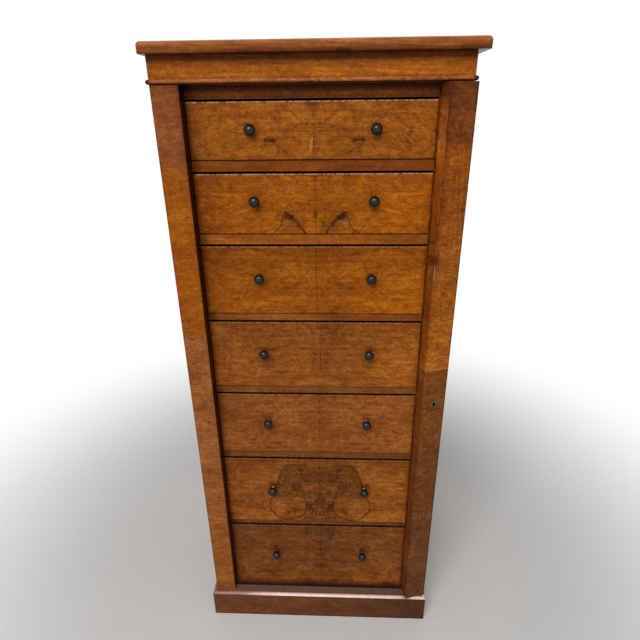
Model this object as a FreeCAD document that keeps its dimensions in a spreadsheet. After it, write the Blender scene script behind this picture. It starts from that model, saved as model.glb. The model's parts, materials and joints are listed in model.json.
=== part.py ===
import FreeCAD, Part
import os
import re
import Sketcher

# A wellington chest: seven graduated drawers between a fixed pilaster and a hinged locking stile.
# X runs across the front, Y to the back and Z up. The origin is on the floor, at the centre of the
# plinth's footprint. The locking stile stands ajar, so that the drawers can slide.

SIZES = {
    # Case
    "case_width": 490.0,
    "case_depth": 382.0,
    "side_thickness": 18.0,
    "back_thickness": 8.0,
    "back_rebate": 9.0,
    "pilaster_width": 44.5,
    "pilaster_thickness": 25.5,
    "front_stile_thickness": 20.0,
    # Top
    "slab_thickness": 17.0,
    "slab_front_overhang": 14.0,
    "slab_side_overhang": 12.8,
    "slab_back_overhang": 3.0,
    "slab_shift": 3.9,
    "slab_top_round": 6.0,
    "slab_bottom_round": 2.0,
    "slab_corner_round": 7.0,
    "frieze_height": 40.0,
    "astragal_height": 7.0,
    "astragal_projection": 4.2,
    # Plinth
    "plinth_height": 74.5,
    "plinth_step": 9.0,
    "plinth_board_thickness": 22.0,
    "plinth_back_thickness": 20.0,
    "plinth_quirk_height": 1.7,
    "plinth_quirk_setback": 7.5,
    "plinth_bevel_height": 4.5,
    "plinth_bevel_radius": 26.0,
    "base_board_thickness": 18.0,
    "base_rise": 3.8,
    "base_setback": 15.7,
    "base_stile_clearance": 0.4,
    "glue_block_size": 26.0,
    "glue_block_gap": 8.0,
    # Rails, runners and what lies between them
    "top_rail_height": 20.2,
    "rail_1_height": 18.0,
    "rail_2_height": 18.5,
    "rail_3_height": 14.5,
    "rail_4_height": 15.5,
    "rail_5_height": 16.0,
    "rail_6_height": 12.0,
    "rail_setback": 2.5,
    "rail_depth": 45.0,
    "runner_width": 42.0,
    "runner_height": 12.0,
    "guide_height": 14.0,
    "guide_clearance": 0.8,
    "dust_board_thickness": 6.0,
    "dust_groove_depth": 6.0,
    "stop_spacing": 240.0,
    "stop_width": 30.0,
    "stop_depth": 12.0,
    "stop_height": 5.5,
    "stop_clearance": 0.2,
    # Drawers
    "drawer_1_height": 87.5,
    "drawer_2_height": 100.5,
    "drawer_3_height": 127.0,
    "drawer_4_height": 139.0,
    "drawer_5_height": 141.5,
    "drawer_6_height": 174.5,
    "drawer_7_height": 178.5,
    "drawer_gap_above": 3.5,
    "drawer_gap_below": 1.0,
    "drawer_end_gap": 0.5,
    "drawer_back_gap": 12.0,
    "drawer_runner_gap": 0.3,
    "drawer_front_thickness": 20.0,
    "drawer_side_thickness": 10.0,
    "drawer_side_inset": 0.5,
    "drawer_side_drop": 1.5,
    "drawer_tail_length": 14.0,
    "drawer_back_thickness": 9.0,
    "drawer_back_housing": 3.0,
    "drawer_back_inset": 8.0,
    "drawer_back_drop": 6.0,
    "drawer_bottom_thickness": 6.0,
    "drawer_bottom_groove": 4.0,
    "drawer_bottom_raise": 7.0,
    # Knobs
    "knob_spacing": 201.0,
    "knob_shift": 3.4,
    "knob_rise": 6.5,
    "drawer_1_knob_rise": 2.0,
    "knob_head_radius": 9.2,
    "knob_head_centre": 13.0,
    "knob_projection": 20.0,
    "knob_neck_radius": 4.6,
    "knob_neck_length": 7.0,
    "knob_foot_radius": 6.5,
    "knob_foot_length": 1.5,
    "knob_spigot_radius": 4.0,
    # Locking stile and its hinges
    "lock_stile_width": 47.6,
    "lock_stile_inset": 1.0,
    "lock_stile_end_gap": 0.5,
    "ajar_angle": 16.5,
    "hinge_gap": 0.8,
    "hinge_end_distance": 90.0,
    "hinge_length": 50.0,
    "hinge_reach": 20.0,
    "hinge_leaf_thickness": 1.2,
    "hinge_leaf_proud": 0.3,
    "hinge_barrel_radius": 2.5,
    "hinge_barrel_gap": 0.1,
    "hinge_pin_radius": 1.2,
    "hinge_pin_clearance": 0.05,
    "hinge_knuckle_gap": 0.2,
    "screw_head_radius": 3.0,
    "screw_shank_radius": 1.5,
    "screw_head_depth": 1.6,
    "screw_length": 13.0,
    # Lock
    "keyhole_level": 538.5,
    "keyhole_distance": 22.9,
    "keyhole_radius": 3.2,
    "keyhole_slot_radius": 1.5,
    "keyhole_drop": 6.0,
    "escutcheon_radius": 7.5,
    "escutcheon_lobe_radius": 5.0,
    "escutcheon_thickness": 1.5,
    "escutcheon_proud": 0.3,
    "lock_width": 32.0,
    "lock_height": 46.0,
    "lock_depth": 12.0,
    "bolt_size": 4.0,
    "bolt_length": 16.0,
    "bolt_travel": 8.0,
    "bolt_clearance": 0.15,
    "bolt_rest_gap": 1.0,
    "bolt_distance": 6.0,
    "staple_level": 14.0,
    "staple_width": 8.0,
    "staple_height": 5.0,
    "staple_reach": 8.0,
    "staple_eye_clearance": 0.3,
    "staple_side_clearance": 3.0,
    "staple_end_clearance": 2.0,
    "staple_tip_clearance": 1.5,
    "staple_plate_width": 14.0,
    "staple_plate_height": 34.0,
    "staple_plate_thickness": 1.5,
}

DRAWERS = range(1, 8)
SIDES = {"left": -1, "right": 1}
BACK_BOARDS = 3
HINGES = 4
KNUCKLES = 5
TAILS = {1: 2, 2: 2, 3: 3, 4: 3, 5: 3, 6: 4, 7: 4}
# A tail's half height at its tip and at its root, as shares of the tails' pitch
TAIL_TIP = 0.36
TAIL_ROOT = 0.27
# How far a cutting solid reaches past what it cuts
OVERCUT = 1

doc = FreeCAD.newDocument("WellingtonChest")
sheet = doc.addObject("Spreadsheet::Sheet", "Sizes")
for row, (size_name, size) in enumerate(SIZES.items(), 1):
    sheet.set(f"A{row}", size_name)
    sheet.set(f"B{row}", str(size))
    sheet.setAlias(f"B{row}", size_name)
doc.recompute()

sub_parts = []


def bound(formula):
    """Point each size's name in a formula at its cell."""
    return re.sub(r"[a-z]\w*", lambda word: f"Sizes.{word[0]}" if word[0] in SIZES else word[0], formula)


def number(formula):
    """The present value of a formula."""
    return float(sheet.evalExpression(bound(formula)))


def bind(item, formulas):
    """Bind an object's properties to formulas of the sizes."""
    for path, formula in formulas.items():
        item.setExpression(path, bound(formula))


def place(item, x="0", y="0", z="0"):
    """Bind where an object stands."""
    bind(item, {"Placement.Base.x": x, "Placement.Base.y": y, "Placement.Base.z": z})
    return item


def sub_part(label, item):
    """Name a finished sub-part and list it for export."""
    item.Label = label
    sub_parts.append(item)
    return item


def board(name, x, y, z):
    """A rectangular board between a low and a high formula on each axis."""
    box = doc.addObject("Part::Box", name)
    for side, (low, high) in zip(("Length", "Width", "Height"), (x, y, z)):
        bind(box, {side: f"({high}) - ({low})"})
    return place(box, x[0], y[0], z[0])


def rod(name, radius, length, x="0", y="0", z="0"):
    """A cylinder that stands along Z."""
    cylinder = doc.addObject("Part::Cylinder", name)
    bind(cylinder, {"Radius": radius, "Height": length})
    return place(cylinder, x, y, z)


def group(name, pieces):
    """Separate solids that share one node."""
    compound = doc.addObject("Part::Compound", name)
    compound.Links = pieces
    return compound


def fused(name, pieces):
    """One solid out of several."""
    fusion = doc.addObject("Part::MultiFuse", name)
    fusion.Shapes = pieces
    return fusion


def cut(name, base, *tools):
    """What is left of a solid once each tool has cut into it."""
    for step, tool in enumerate(tools, 1):
        result = doc.addObject("Part::Cut", f"{name}_{step}")
        result.Base = base
        result.Tool = tool
        base = result
    return base


def sketch_on(body, plane):
    """An empty sketch on one of a body's own planes."""
    sketch = body.newObject("Sketcher::SketchObject", f"{body.Name}_sketch")
    support = next(item for item in body.Origin.OriginFeatures if item.Role == plane)
    sketch.AttachmentSupport = [(support, "")]
    sketch.MapMode = "FlatFace"
    return sketch


def hold(sketch, kind, *where, formula):
    """Add a dimension that a formula drives."""
    index = sketch.addConstraint(Sketcher.Constraint(kind, *where, number(formula)))
    bind(sketch, {f"Constraints[{index}]": formula})


def hold_point(sketch, geometry, end, x, y):
    """Hold a point of a sketch at its two distances from the sketch's origin."""
    hold(sketch, "DistanceX", -1, 1, geometry, end, formula=x)
    hold(sketch, "DistanceY", -1, 1, geometry, end, formula=y)


def arc_between(start, end, radius):
    """An arc of less than half a turn that runs anticlockwise between two points."""
    chord = end - start
    across = FreeCAD.Vector(-chord.y, chord.x, 0).normalize()
    rise = max(radius**2 - chord.Length**2 / 4, 0) ** 0.5
    centre = start + chord * 0.5 + across * rise
    return Part.Arc(start, centre - across * radius, end)


def outline(sketch, corners):
    """A closed outline, drawn anticlockwise. A corner with a third formula, a radius, starts an arc."""
    first = sketch.GeometryCount
    points = [FreeCAD.Vector(number(corner[0]), number(corner[1]), 0) for corner in corners]
    for index, corner in enumerate(corners):
        start = points[index]
        end = points[(index + 1) % len(points)]
        if len(corner) == 3:
            sketch.addGeometry(arc_between(start, end, number(corner[2])), False)
        else:
            sketch.addGeometry(Part.LineSegment(start, end), False)
    for index, corner in enumerate(corners):
        following = first + (index + 1) % len(corners)
        sketch.addConstraint(Sketcher.Constraint("Coincident", first + index, 2, following, 1))
    for index, corner in enumerate(corners):
        hold_point(sketch, first + index, 1, corner[0], corner[1])
        if len(corner) == 3:
            hold(sketch, "Radius", first + index, formula=corner[2])
    return sketch


def hole(sketch, x, y, radius):
    """A round outline."""
    centre = FreeCAD.Vector(number(x), number(y), 0)
    index = sketch.addGeometry(Part.Circle(centre, FreeCAD.Vector(0, 0, 1), number(radius)), False)
    hold_point(sketch, index, 3, x, y)
    hold(sketch, "Radius", index, formula=radius)
    return sketch


def new_body(name):
    return doc.addObject("PartDesign::Body", name)


def pad(body, plane, corners, length, backwards=False):
    """Draw an outline on a plane of the body and pad it."""
    feature = body.newObject("PartDesign::Pad", f"{body.Name}_pad")
    feature.Profile = outline(sketch_on(body, plane), corners)
    bind(feature, {"Length": length})
    feature.Reversed = backwards
    return feature


def pocket_through(body, sketch):
    """Cut a sketch's outlines right through the body, both ways."""
    feature = body.newObject("PartDesign::Pocket", f"{body.Name}_pocket")
    feature.Profile = sketch
    feature.Type = "ThroughAll"
    feature.SideType = "Symmetric"
    return feature


def edges_like(feature, wanted):
    """The names of a feature's edges whose middles pass a test."""
    shape = feature.Shape
    return [f"Edge{i}" for i, edge in enumerate(shape.Edges, 1) if wanted(edge.BoundBox.Center)]


def rounded(body, feature, wanted, radius):
    """Round the edges of a body's last feature that pass a test."""
    doc.recompute()
    fillet = body.newObject("PartDesign::Fillet", f"{body.Name}_round")
    fillet.Base = (feature, edges_like(feature, wanted))
    bind(fillet, {"Radius": radius})
    return fillet


# Planes and levels that the pieces share
FRONT = "(plinth_step - case_depth) / 2"
BACK = f"{FRONT} + case_depth"
BACK_BOARDS_FRONT = f"{BACK} - back_thickness"
DRAWER_PLANE = f"{FRONT} + pilaster_thickness"
STILES_BACK = f"{DRAWER_PLANE} + front_stile_thickness"
RAILS_FRONT = f"{DRAWER_PLANE} + rail_setback"
RAILS_BACK = f"{RAILS_FRONT} + rail_depth"
INSIDE = "case_width / 2 - side_thickness"
PLINTH_INSET = "plinth_board_thickness - plinth_step"
PLINTH_INNER_X = f"(case_width / 2 - ({PLINTH_INSET}))"
PLINTH_INNER_Y = (f"{FRONT} + {PLINTH_INSET}", f"{BACK} - plinth_back_thickness")

# The hinges' axis stands just outside the case, in the middle of the gap behind the locking stile
HINGE_X = "case_width / 2 + hinge_barrel_radius + hinge_barrel_gap"
HINGE_Y = f"{DRAWER_PLANE} - hinge_gap / 2"
STILE_OUTSIDE = "-(hinge_barrel_radius + hinge_barrel_gap + lock_stile_inset)"
STILE_INSIDE = f"{STILE_OUTSIDE} - lock_stile_width"
STILE_BACK = "-hinge_gap / 2"
STILE_FRONT = "hinge_gap / 2 - pilaster_thickness"

# The drawers' opening ends where the ajar stile's inner edge does, so that it lets them by
OPENING_LEFT = "pilaster_width - case_width / 2"
OPENING_RIGHT = f"{HINGE_X} + ({STILE_INSIDE}) * cos(ajar_angle) - ({STILE_BACK}) * sin(ajar_angle)"
DRAWER_LENGTH = f"{OPENING_RIGHT} - ({OPENING_LEFT}) - 2 * drawer_end_gap"
DRAWER_X = f"({OPENING_LEFT} + {OPENING_RIGHT}) / 2"

# The base board inside the plinth has a raised part that the lowest drawer runs on
BASE_UNDERSIDE = "plinth_height - base_board_thickness"
BASE_TOP = "plinth_height + base_rise"
BASE_FRONT = f"{FRONT} + base_setback"
BASE_RIGHT = f"{HINGE_X} + ({STILE_INSIDE}) - base_stile_clearance"

# Each drawer runs on a shelf and stops under a ceiling, and a rail lies over the ceiling
SHELF = {}
CEILING = {}
level = BASE_TOP
for n in reversed(DRAWERS):
    SHELF[n] = level
    CEILING[n] = f"{level} + drawer_gap_below + drawer_{n}_height + drawer_gap_above"
    level = f"{CEILING[n]} + rail_{n - 1}_height"
FRIEZE_BOTTOM = f"{CEILING[1]} + top_rail_height"
FRIEZE_TOP = f"{FRIEZE_BOTTOM} + frieze_height"
CASE_LEVELS = ("plinth_height", FRIEZE_TOP)


# Case
def make_case_side(name, side):
    """A case side with the rebate for the back boards."""
    body = new_body(name)
    outer = f"{side} * case_width / 2"
    inner = f"{side} * ({INSIDE})"
    rebate = f"{side} * ({INSIDE} + back_rebate)"
    corners = [
        (outer, DRAWER_PLANE),
        (outer, BACK),
        (rebate, BACK),
        (rebate, BACK_BOARDS_FRONT),
        (inner, BACK_BOARDS_FRONT),
        (inner, DRAWER_PLANE),
    ]
    pad(body, "XY_Plane", corners, f"{FRIEZE_TOP} - plinth_height")
    return place(body, z="plinth_height")


def make_back_boards():
    """Three upright boards that fill the rebate."""
    half = f"({INSIDE} + back_rebate)"
    pieces = []
    for i in range(BACK_BOARDS):
        left = f"{half} * {2 * i - BACK_BOARDS} / {BACK_BOARDS}"
        right = f"{half} * {2 * i + 2 - BACK_BOARDS} / {BACK_BOARDS}"
        pieces.append(board(f"back_board_{i}", (left, right), (BACK_BOARDS_FRONT, BACK), CASE_LEVELS))
    return group("back", pieces)


def make_front_stile(name, outer, inner):
    return board(name, (outer, inner), (DRAWER_PLANE, STILES_BACK), CASE_LEVELS)


# Top
def make_slab():
    """The top slab, rounded along its front and sides."""
    body = new_body("slab")
    half = "case_width / 2 + slab_side_overhang"
    left = f"slab_shift - ({half})"
    right = f"slab_shift + {half}"
    front = f"{FRONT} - slab_front_overhang"
    back = f"{BACK} + slab_back_overhang"
    corners = [(left, front), (right, front), (right, back), (left, back)]
    block = pad(body, "XY_Plane", corners, "slab_thickness")
    front_y = number(front)
    back_y = number(back)
    top_z = number("slab_thickness")
    touch = 0.1
    upright = rounded(
        body, block, lambda at: at.y < front_y + touch and touch < at.z < top_z - touch, "slab_corner_round"
    )
    upper = rounded(
        body, upright, lambda at: at.y < back_y - touch and at.z > top_z - touch, "slab_top_round"
    )
    rounded(body, upper, lambda at: at.y < back_y - touch and at.z < touch, "slab_bottom_round")
    return place(body, z=FRIEZE_TOP)


def make_mitred_length(name, profile, outward, inward, run, start_mitre, end_mitre):
    """A moulding along X with its face towards -Y, mitred where it meets the next one."""
    body = new_body(name)
    pad(body, "YZ_Plane", profile, run)
    low = f"-({outward}) - {OVERCUT}"
    high = f"{inward} + {OVERCUT}"
    deep = f"{outward} + {inward} + {OVERCUT}"
    sketch = sketch_on(body, "XY_Plane")
    if start_mitre:
        outline(sketch, [(f"-{OVERCUT}", low), (deep, high), (f"-{OVERCUT}", high)])
    if end_mitre:
        past = f"{run} + {OVERCUT}"
        outline(sketch, [(past, low), (past, high), (f"{run} - ({deep})", high)])
    pocket_through(body, sketch)
    return body


def make_moulding(name, profile, outward, inward, level):
    """A moulding across the front and back along both sides, in three lengths."""
    across = f"case_width + 2 * {outward}"
    along = f"case_depth + {outward}"
    front = make_mitred_length(f"{name}_front", profile, outward, inward, across, True, True)
    place(front, f"-case_width / 2 - {outward}", FRONT, level)
    left = make_mitred_length(f"{name}_left", profile, outward, inward, along, False, True)
    place(left, "-case_width / 2", BACK, level)
    left.Placement.Rotation = FreeCAD.Rotation(FreeCAD.Vector(0, 0, 1), -90)
    right = make_mitred_length(f"{name}_right", profile, outward, inward, along, True, False)
    place(right, "case_width / 2", f"{FRONT} - {outward}", level)
    right.Placement.Rotation = FreeCAD.Rotation(FreeCAD.Vector(0, 0, 1), 90)
    return [front, left, right]


def make_astragal():
    """A half round with a short flat behind it."""
    flat = "-(astragal_projection - astragal_height / 2)"
    radius = "0.505 * astragal_height"
    profile = [("0", "0"), ("0", "astragal_height"), (flat, "astragal_height", radius), (flat, "0")]
    return group("astragal", make_moulding("astragal", profile, "astragal_projection", "0", FRIEZE_BOTTOM))


# Plinth
def make_plinth():
    """Three moulded boards, mitred at the front, and a plain one at the back."""
    face = "-plinth_step"
    quirk = "plinth_quirk_setback - plinth_step"
    quirk_foot = "plinth_height - plinth_quirk_height"
    bevel_foot = f"{quirk_foot} - plinth_bevel_height"
    profile = [
        (face, "0"),
        (PLINTH_INSET, "0"),
        (PLINTH_INSET, "plinth_height"),
        (quirk, "plinth_height"),
        (quirk, quirk_foot, "plinth_bevel_radius"),
        (face, bevel_foot),
    ]
    lengths = make_moulding("plinth", profile, "plinth_step", PLINTH_INSET, "0")
    between = (f"-{PLINTH_INNER_X}", PLINTH_INNER_X)
    back = board("plinth_back", between, (PLINTH_INNER_Y[1], BACK), ("0", "plinth_height"))
    return group("plinth", lengths + [back])


def make_base_board():
    """A board inside the plinth, with its raised part between the case sides and clear of the shut stile."""
    between = (f"-{PLINTH_INNER_X}", PLINTH_INNER_X)
    lower = board("base_lower", between, PLINTH_INNER_Y, (BASE_UNDERSIDE, "plinth_height"))
    upper = new_body("base_upper")
    corners = [
        (OPENING_LEFT, BASE_FRONT),
        (BASE_RIGHT, BASE_FRONT),
        (BASE_RIGHT, DRAWER_PLANE),
        (OPENING_RIGHT, DRAWER_PLANE),
        (OPENING_RIGHT, STILES_BACK),
        (INSIDE, STILES_BACK),
        (INSIDE, BACK_BOARDS_FRONT),
        (f"-({INSIDE})", BACK_BOARDS_FRONT),
        (f"-({INSIDE})", STILES_BACK),
        (OPENING_LEFT, STILES_BACK),
    ]
    pad(upper, "XY_Plane", corners, "base_rise")
    return fused("base", [lower, place(upper, z="plinth_height")])


def beside(inner, size, side):
    """The low and high formula of something that stands inside a side wall, on the left or right."""
    return sorted((f"{side} * ({inner})", f"{side} * ({inner} - {size})"), key=number)


def make_glue_blocks():
    """Blocks in the plinth's corners and along its sides, and blocks under the slab."""
    front, back = PLINTH_INNER_Y
    middle = f"({front} + {back}) / 2"
    rows = {
        "front": (front, f"{front} + glue_block_size"),
        "middle": (f"{middle} - glue_block_size / 2", f"{middle} + glue_block_size / 2"),
        "back": (f"{back} - glue_block_size", back),
    }
    top_rows = {**rows, "front": (STILES_BACK, f"{STILES_BACK} + glue_block_size")}
    levels = ("glue_block_gap", BASE_UNDERSIDE)
    top_levels = (f"{FRIEZE_TOP} - glue_block_size", FRIEZE_TOP)
    pieces = []
    for side_name, side in SIDES.items():
        x = beside(PLINTH_INNER_X, "glue_block_size", side)
        top_x = beside(INSIDE, "glue_block_size", side)
        for row_name in rows:
            place_name = f"{side_name}_{row_name}"
            pieces.append(board(f"plinth_block_{place_name}", x, rows[row_name], levels))
            pieces.append(board(f"top_block_{place_name}", top_x, top_rows[row_name], top_levels))
    return group("blocks", pieces)


# Rails, runners, guides, dust boards and stops
def make_rail(name, height, level):
    """A rail between the front stiles that widens behind them to the case sides."""
    body = new_body(name)
    corners = [
        (OPENING_LEFT, RAILS_FRONT),
        (OPENING_RIGHT, RAILS_FRONT),
        (OPENING_RIGHT, STILES_BACK),
        (INSIDE, STILES_BACK),
        (INSIDE, RAILS_BACK),
        (f"-({INSIDE})", RAILS_BACK),
        (f"-({INSIDE})", STILES_BACK),
        (OPENING_LEFT, STILES_BACK),
    ]
    pad(body, "XY_Plane", corners, height)
    return place(body, z=level)


def make_runner(name, side, level):
    """A runner with its top at a level and a groove for the dust board."""
    body = new_body(name)
    outer = f"{side} * ({INSIDE})"
    inner = f"{side} * ({INSIDE} - runner_width)"
    groove = f"{side} * ({INSIDE} - runner_width + dust_groove_depth)"
    groove_top = "(dust_board_thickness - runner_height) / 2"
    groove_foot = "-(dust_board_thickness + runner_height) / 2"
    corners = [
        (outer, "-runner_height"),
        (outer, "0"),
        (inner, "0"),
        (inner, groove_top),
        (groove, groove_top),
        (groove, groove_foot),
        (inner, groove_foot),
        (inner, "-runner_height"),
    ]
    pad(body, "XZ_Plane", corners, f"{BACK_BOARDS_FRONT} - ({RAILS_BACK})")
    return place(body, y=BACK_BOARDS_FRONT, z=level)


def make_guide(name, side, n):
    """A strip on the runner that keeps a drawer square."""
    drawer_edge = f"{DRAWER_X} + {side} * (({DRAWER_LENGTH}) / 2 - drawer_side_inset + guide_clearance)"
    x = sorted((f"{side} * ({INSIDE})", drawer_edge), key=number)
    return board(name, x, (STILES_BACK, BACK_BOARDS_FRONT), (SHELF[n], f"{SHELF[n]} + guide_height"))


def make_runners_and_guides():
    pieces = []
    for side_name, side in SIDES.items():
        for n in DRAWERS:
            if SHELF[n] != BASE_TOP:
                pieces.append(make_runner(f"runner_{side_name}_{n}", side, SHELF[n]))
            pieces.append(make_guide(f"guide_{side_name}_{n}", side, n))
        x = beside(INSIDE, "runner_width", side)
        kicker_levels = (CEILING[1], f"{CEILING[1]} + runner_height")
        pieces.append(board(f"kicker_{side_name}", x, (RAILS_BACK, BACK_BOARDS_FRONT), kicker_levels))
    return group("runners", pieces)


def make_dust_boards():
    half = f"({INSIDE} - runner_width + dust_groove_depth)"
    pieces = []
    for n in DRAWERS:
        if SHELF[n] == BASE_TOP:
            continue
        middle = f"{SHELF[n]} - runner_height / 2"
        levels = (f"{middle} - dust_board_thickness / 2", f"{middle} + dust_board_thickness / 2")
        pieces.append(board(f"dust_board_{n}", (f"-{half}", half), (RAILS_BACK, BACK_BOARDS_FRONT), levels))
    return group("dust", pieces)


def make_stops():
    """Two blocks behind each closed drawer front, low enough to pass under the drawer's bottom."""
    front = f"{DRAWER_PLANE} + drawer_front_thickness + stop_clearance"
    pieces = []
    for n in DRAWERS:
        for side_name, side in SIDES.items():
            middle = f"{DRAWER_X} + {side} * stop_spacing / 2"
            pieces.append(
                board(
                    f"stop_{side_name}_{n}",
                    (f"{middle} - stop_width / 2", f"{middle} + stop_width / 2"),
                    (front, f"{front} + stop_depth"),
                    (SHELF[n], f"{SHELF[n]} + stop_height"),
                )
            )
    return group("stops", pieces)


# Drawers, each in a frame of its own: the front's face is y = 0 and its lower edge z = 0
SIDES_FOOT = "drawer_runner_gap - drawer_gap_below"
SIDES_END = f"{BACK_BOARDS_FRONT} - drawer_back_gap - ({DRAWER_PLANE})"
BACK_REAR = f"{SIDES_END} - drawer_back_inset"
BACK_FACE = f"{BACK_REAR} - drawer_back_thickness"
BOTTOM_TOP = "drawer_bottom_raise + drawer_bottom_thickness"
SIDE_OUTSIDE = f"(({DRAWER_LENGTH}) / 2 - drawer_side_inset)"
SIDE_INSIDE = f"({SIDE_OUTSIDE} - drawer_side_thickness)"
TAIL_END = "drawer_front_thickness - drawer_tail_length"


def in_drawer(n, item):
    """Put a piece that was made in the drawer's frame where the closed drawer is."""
    return place(item, DRAWER_X, DRAWER_PLANE, f"{SHELF[n]} + drawer_gap_below")


def make_drawer_side(n, side_name, side):
    """A drawer side whose tails reach into the front."""
    body = new_body(f"side_{side_name}_{n}")
    top = f"drawer_{n}_height - drawer_side_drop"
    pitch = f"({top} - ({SIDES_FOOT})) / {TAILS[n]}"
    corners = [(SIDES_END, SIDES_FOOT), (SIDES_END, top), ("drawer_front_thickness", top)]
    for i in reversed(range(TAILS[n])):
        middle = f"({SIDES_FOOT} + {pitch} * {i + 0.5})"
        corners += [
            ("drawer_front_thickness", f"{middle} + {TAIL_ROOT} * {pitch}"),
            (TAIL_END, f"{middle} + {TAIL_TIP} * {pitch}"),
            (TAIL_END, f"{middle} - {TAIL_TIP} * {pitch}"),
            ("drawer_front_thickness", f"{middle} - {TAIL_ROOT} * {pitch}"),
        ]
    corners.append(("drawer_front_thickness", SIDES_FOOT))
    pad(body, "YZ_Plane", corners, "drawer_side_thickness")
    return place(body, x=SIDE_INSIDE if side > 0 else f"-{SIDE_OUTSIDE}")


def knob_x(side):
    return f"knob_shift + {side} * knob_spacing / 2"


def knob_z(n):
    rise = "drawer_1_knob_rise" if n == 1 else "knob_rise"
    return f"drawer_{n}_height / 2 + {rise}"


def make_knob(n, side_name, side):
    """A turned knob whose spigot goes through the front."""
    body = new_body(f"knob_{side_name}_{n}")
    dome_height = "(knob_projection - knob_head_centre)"
    dome_radius = f"(knob_head_radius^2 + {dome_height}^2) / (2 * {dome_height})"
    shoulder = "(knob_head_radius - knob_neck_radius)"
    shoulder_radius = f"({shoulder}^2 + (knob_head_centre - knob_neck_length)^2) / (2 * {shoulder})"
    foot_slope = "knob_foot_radius - knob_neck_radius"
    profile = [
        ("0", "-knob_projection", dome_radius),
        ("knob_head_radius", "-knob_head_centre", shoulder_radius),
        ("knob_neck_radius", "-knob_neck_length"),
        ("knob_neck_radius", f"-(knob_foot_length + {foot_slope})"),
        ("knob_foot_radius", "-knob_foot_length"),
        ("knob_foot_radius", "0"),
        ("knob_spigot_radius", "0"),
        ("knob_spigot_radius", "drawer_front_thickness"),
        ("0", "drawer_front_thickness"),
    ]
    sketch = outline(sketch_on(body, "XY_Plane"), profile)
    turning = body.newObject("PartDesign::Revolution", f"{body.Name}_turning")
    turning.Profile = sketch
    turning.ReferenceAxis = (sketch, ["V_Axis"])
    turning.Angle = 360
    return place(body, x=knob_x(side), z=knob_z(n))


def make_front_blank(n):
    """A drawer front with its two bored holes."""
    body = new_body(f"front_{n}")
    half = f"({DRAWER_LENGTH}) / 2"
    height = f"drawer_{n}_height"
    corners = [(f"-{half}", "0"), (half, "0"), (half, height), (f"-{half}", height)]
    pad(body, "XZ_Plane", corners, "drawer_front_thickness", backwards=True)
    sketch = sketch_on(body, "XZ_Plane")
    for side in SIDES.values():
        hole(sketch, knob_x(side), knob_z(n), "knob_spigot_radius")
    pocket_through(body, sketch)
    return body


def make_drawer(n):
    """A drawer's front, sides, back, bottom and knobs."""
    panel_half = f"({SIDE_INSIDE} + drawer_bottom_groove)"
    panel_y = ("drawer_front_thickness - drawer_bottom_groove", BACK_REAR)
    panel_levels = ("drawer_bottom_raise", BOTTOM_TOP)
    bottom = board(f"bottom_{n}", (f"-{panel_half}", panel_half), panel_y, panel_levels)
    housing_half = f"({SIDE_INSIDE} + drawer_back_housing)"
    back_levels = (BOTTOM_TOP, f"drawer_{n}_height - drawer_side_drop - drawer_back_drop")
    back = board(f"back_{n}", (f"-{housing_half}", housing_half), (BACK_FACE, BACK_REAR), back_levels)
    side_blanks = group(f"side_blanks_{n}", [make_drawer_side(n, *side) for side in SIDES.items()])
    sides = cut(f"sides_{n}", side_blanks, bottom, back)
    front = cut(f"front_cut_{n}", make_front_blank(n), side_blanks, bottom)
    knobs = group(f"knobs_{n}", [make_knob(n, *side) for side in SIDES.items()])
    pieces = {"front": front, "sides": sides, "back": back, "bottom": bottom, "knobs": knobs}
    for piece_name, piece in pieces.items():
        holder = group(f"drawer_{n}_{piece_name}_placed", [piece])
        sub_part(f"drawer_{n}_{piece_name}", in_drawer(n, holder))


# The locking stile's hardware, in the hinge's frame: the axis is x = y = 0 and the stile's foot z = 0
STILE_FOOT = "plinth_height + lock_stile_end_gap"
STILE_LENGTH = f"{FRIEZE_BOTTOM} - lock_stile_end_gap - ({STILE_FOOT})"
HINGE_PITCH = f"({STILE_LENGTH} - 2 * hinge_end_distance) / {HINGES - 1}"
LEAF_FACE = "(hinge_gap / 2 - hinge_leaf_proud)"
KEYHOLE_X = f"{STILE_OUTSIDE} - keyhole_distance"
BOLT_X = f"{KEYHOLE_X} - bolt_distance"
BOLT_Y = "hinge_gap / 2 - staple_reach / 2"
STAPLE_Z = "keyhole_level + staple_level"
BOLT_FOOT = f"{STAPLE_Z} - staple_height / 2 - bolt_rest_gap - bolt_length"


def on_stile(item):
    """Hang a piece that was made in the hinge's frame on the ajar locking stile."""
    bind(item, {"Placement.Rotation.Angle": "ajar_angle"})
    return place(item, HINGE_X, HINGE_Y, STILE_FOOT)


def on_case(item):
    """Put a piece that was made in the hinge's frame on the case."""
    return place(item, HINGE_X, HINGE_Y, STILE_FOOT)


def make_screw(name, side, x, y, z):
    """A countersunk screw whose head is flush at y and whose shank runs along Y."""
    head = doc.addObject("Part::Cone", f"{name}_head")
    bind(head, {"Radius1": "screw_head_radius", "Radius2": "screw_shank_radius"})
    bind(head, {"Height": "screw_head_depth"})
    shank = rod(f"{name}_shank", "screw_shank_radius", "screw_length")
    screw = fused(name, [head, shank])
    screw.Placement.Rotation = FreeCAD.Rotation(FreeCAD.Vector(1, 0, 0), -90 * side)
    return place(screw, x, y, z)


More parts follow.
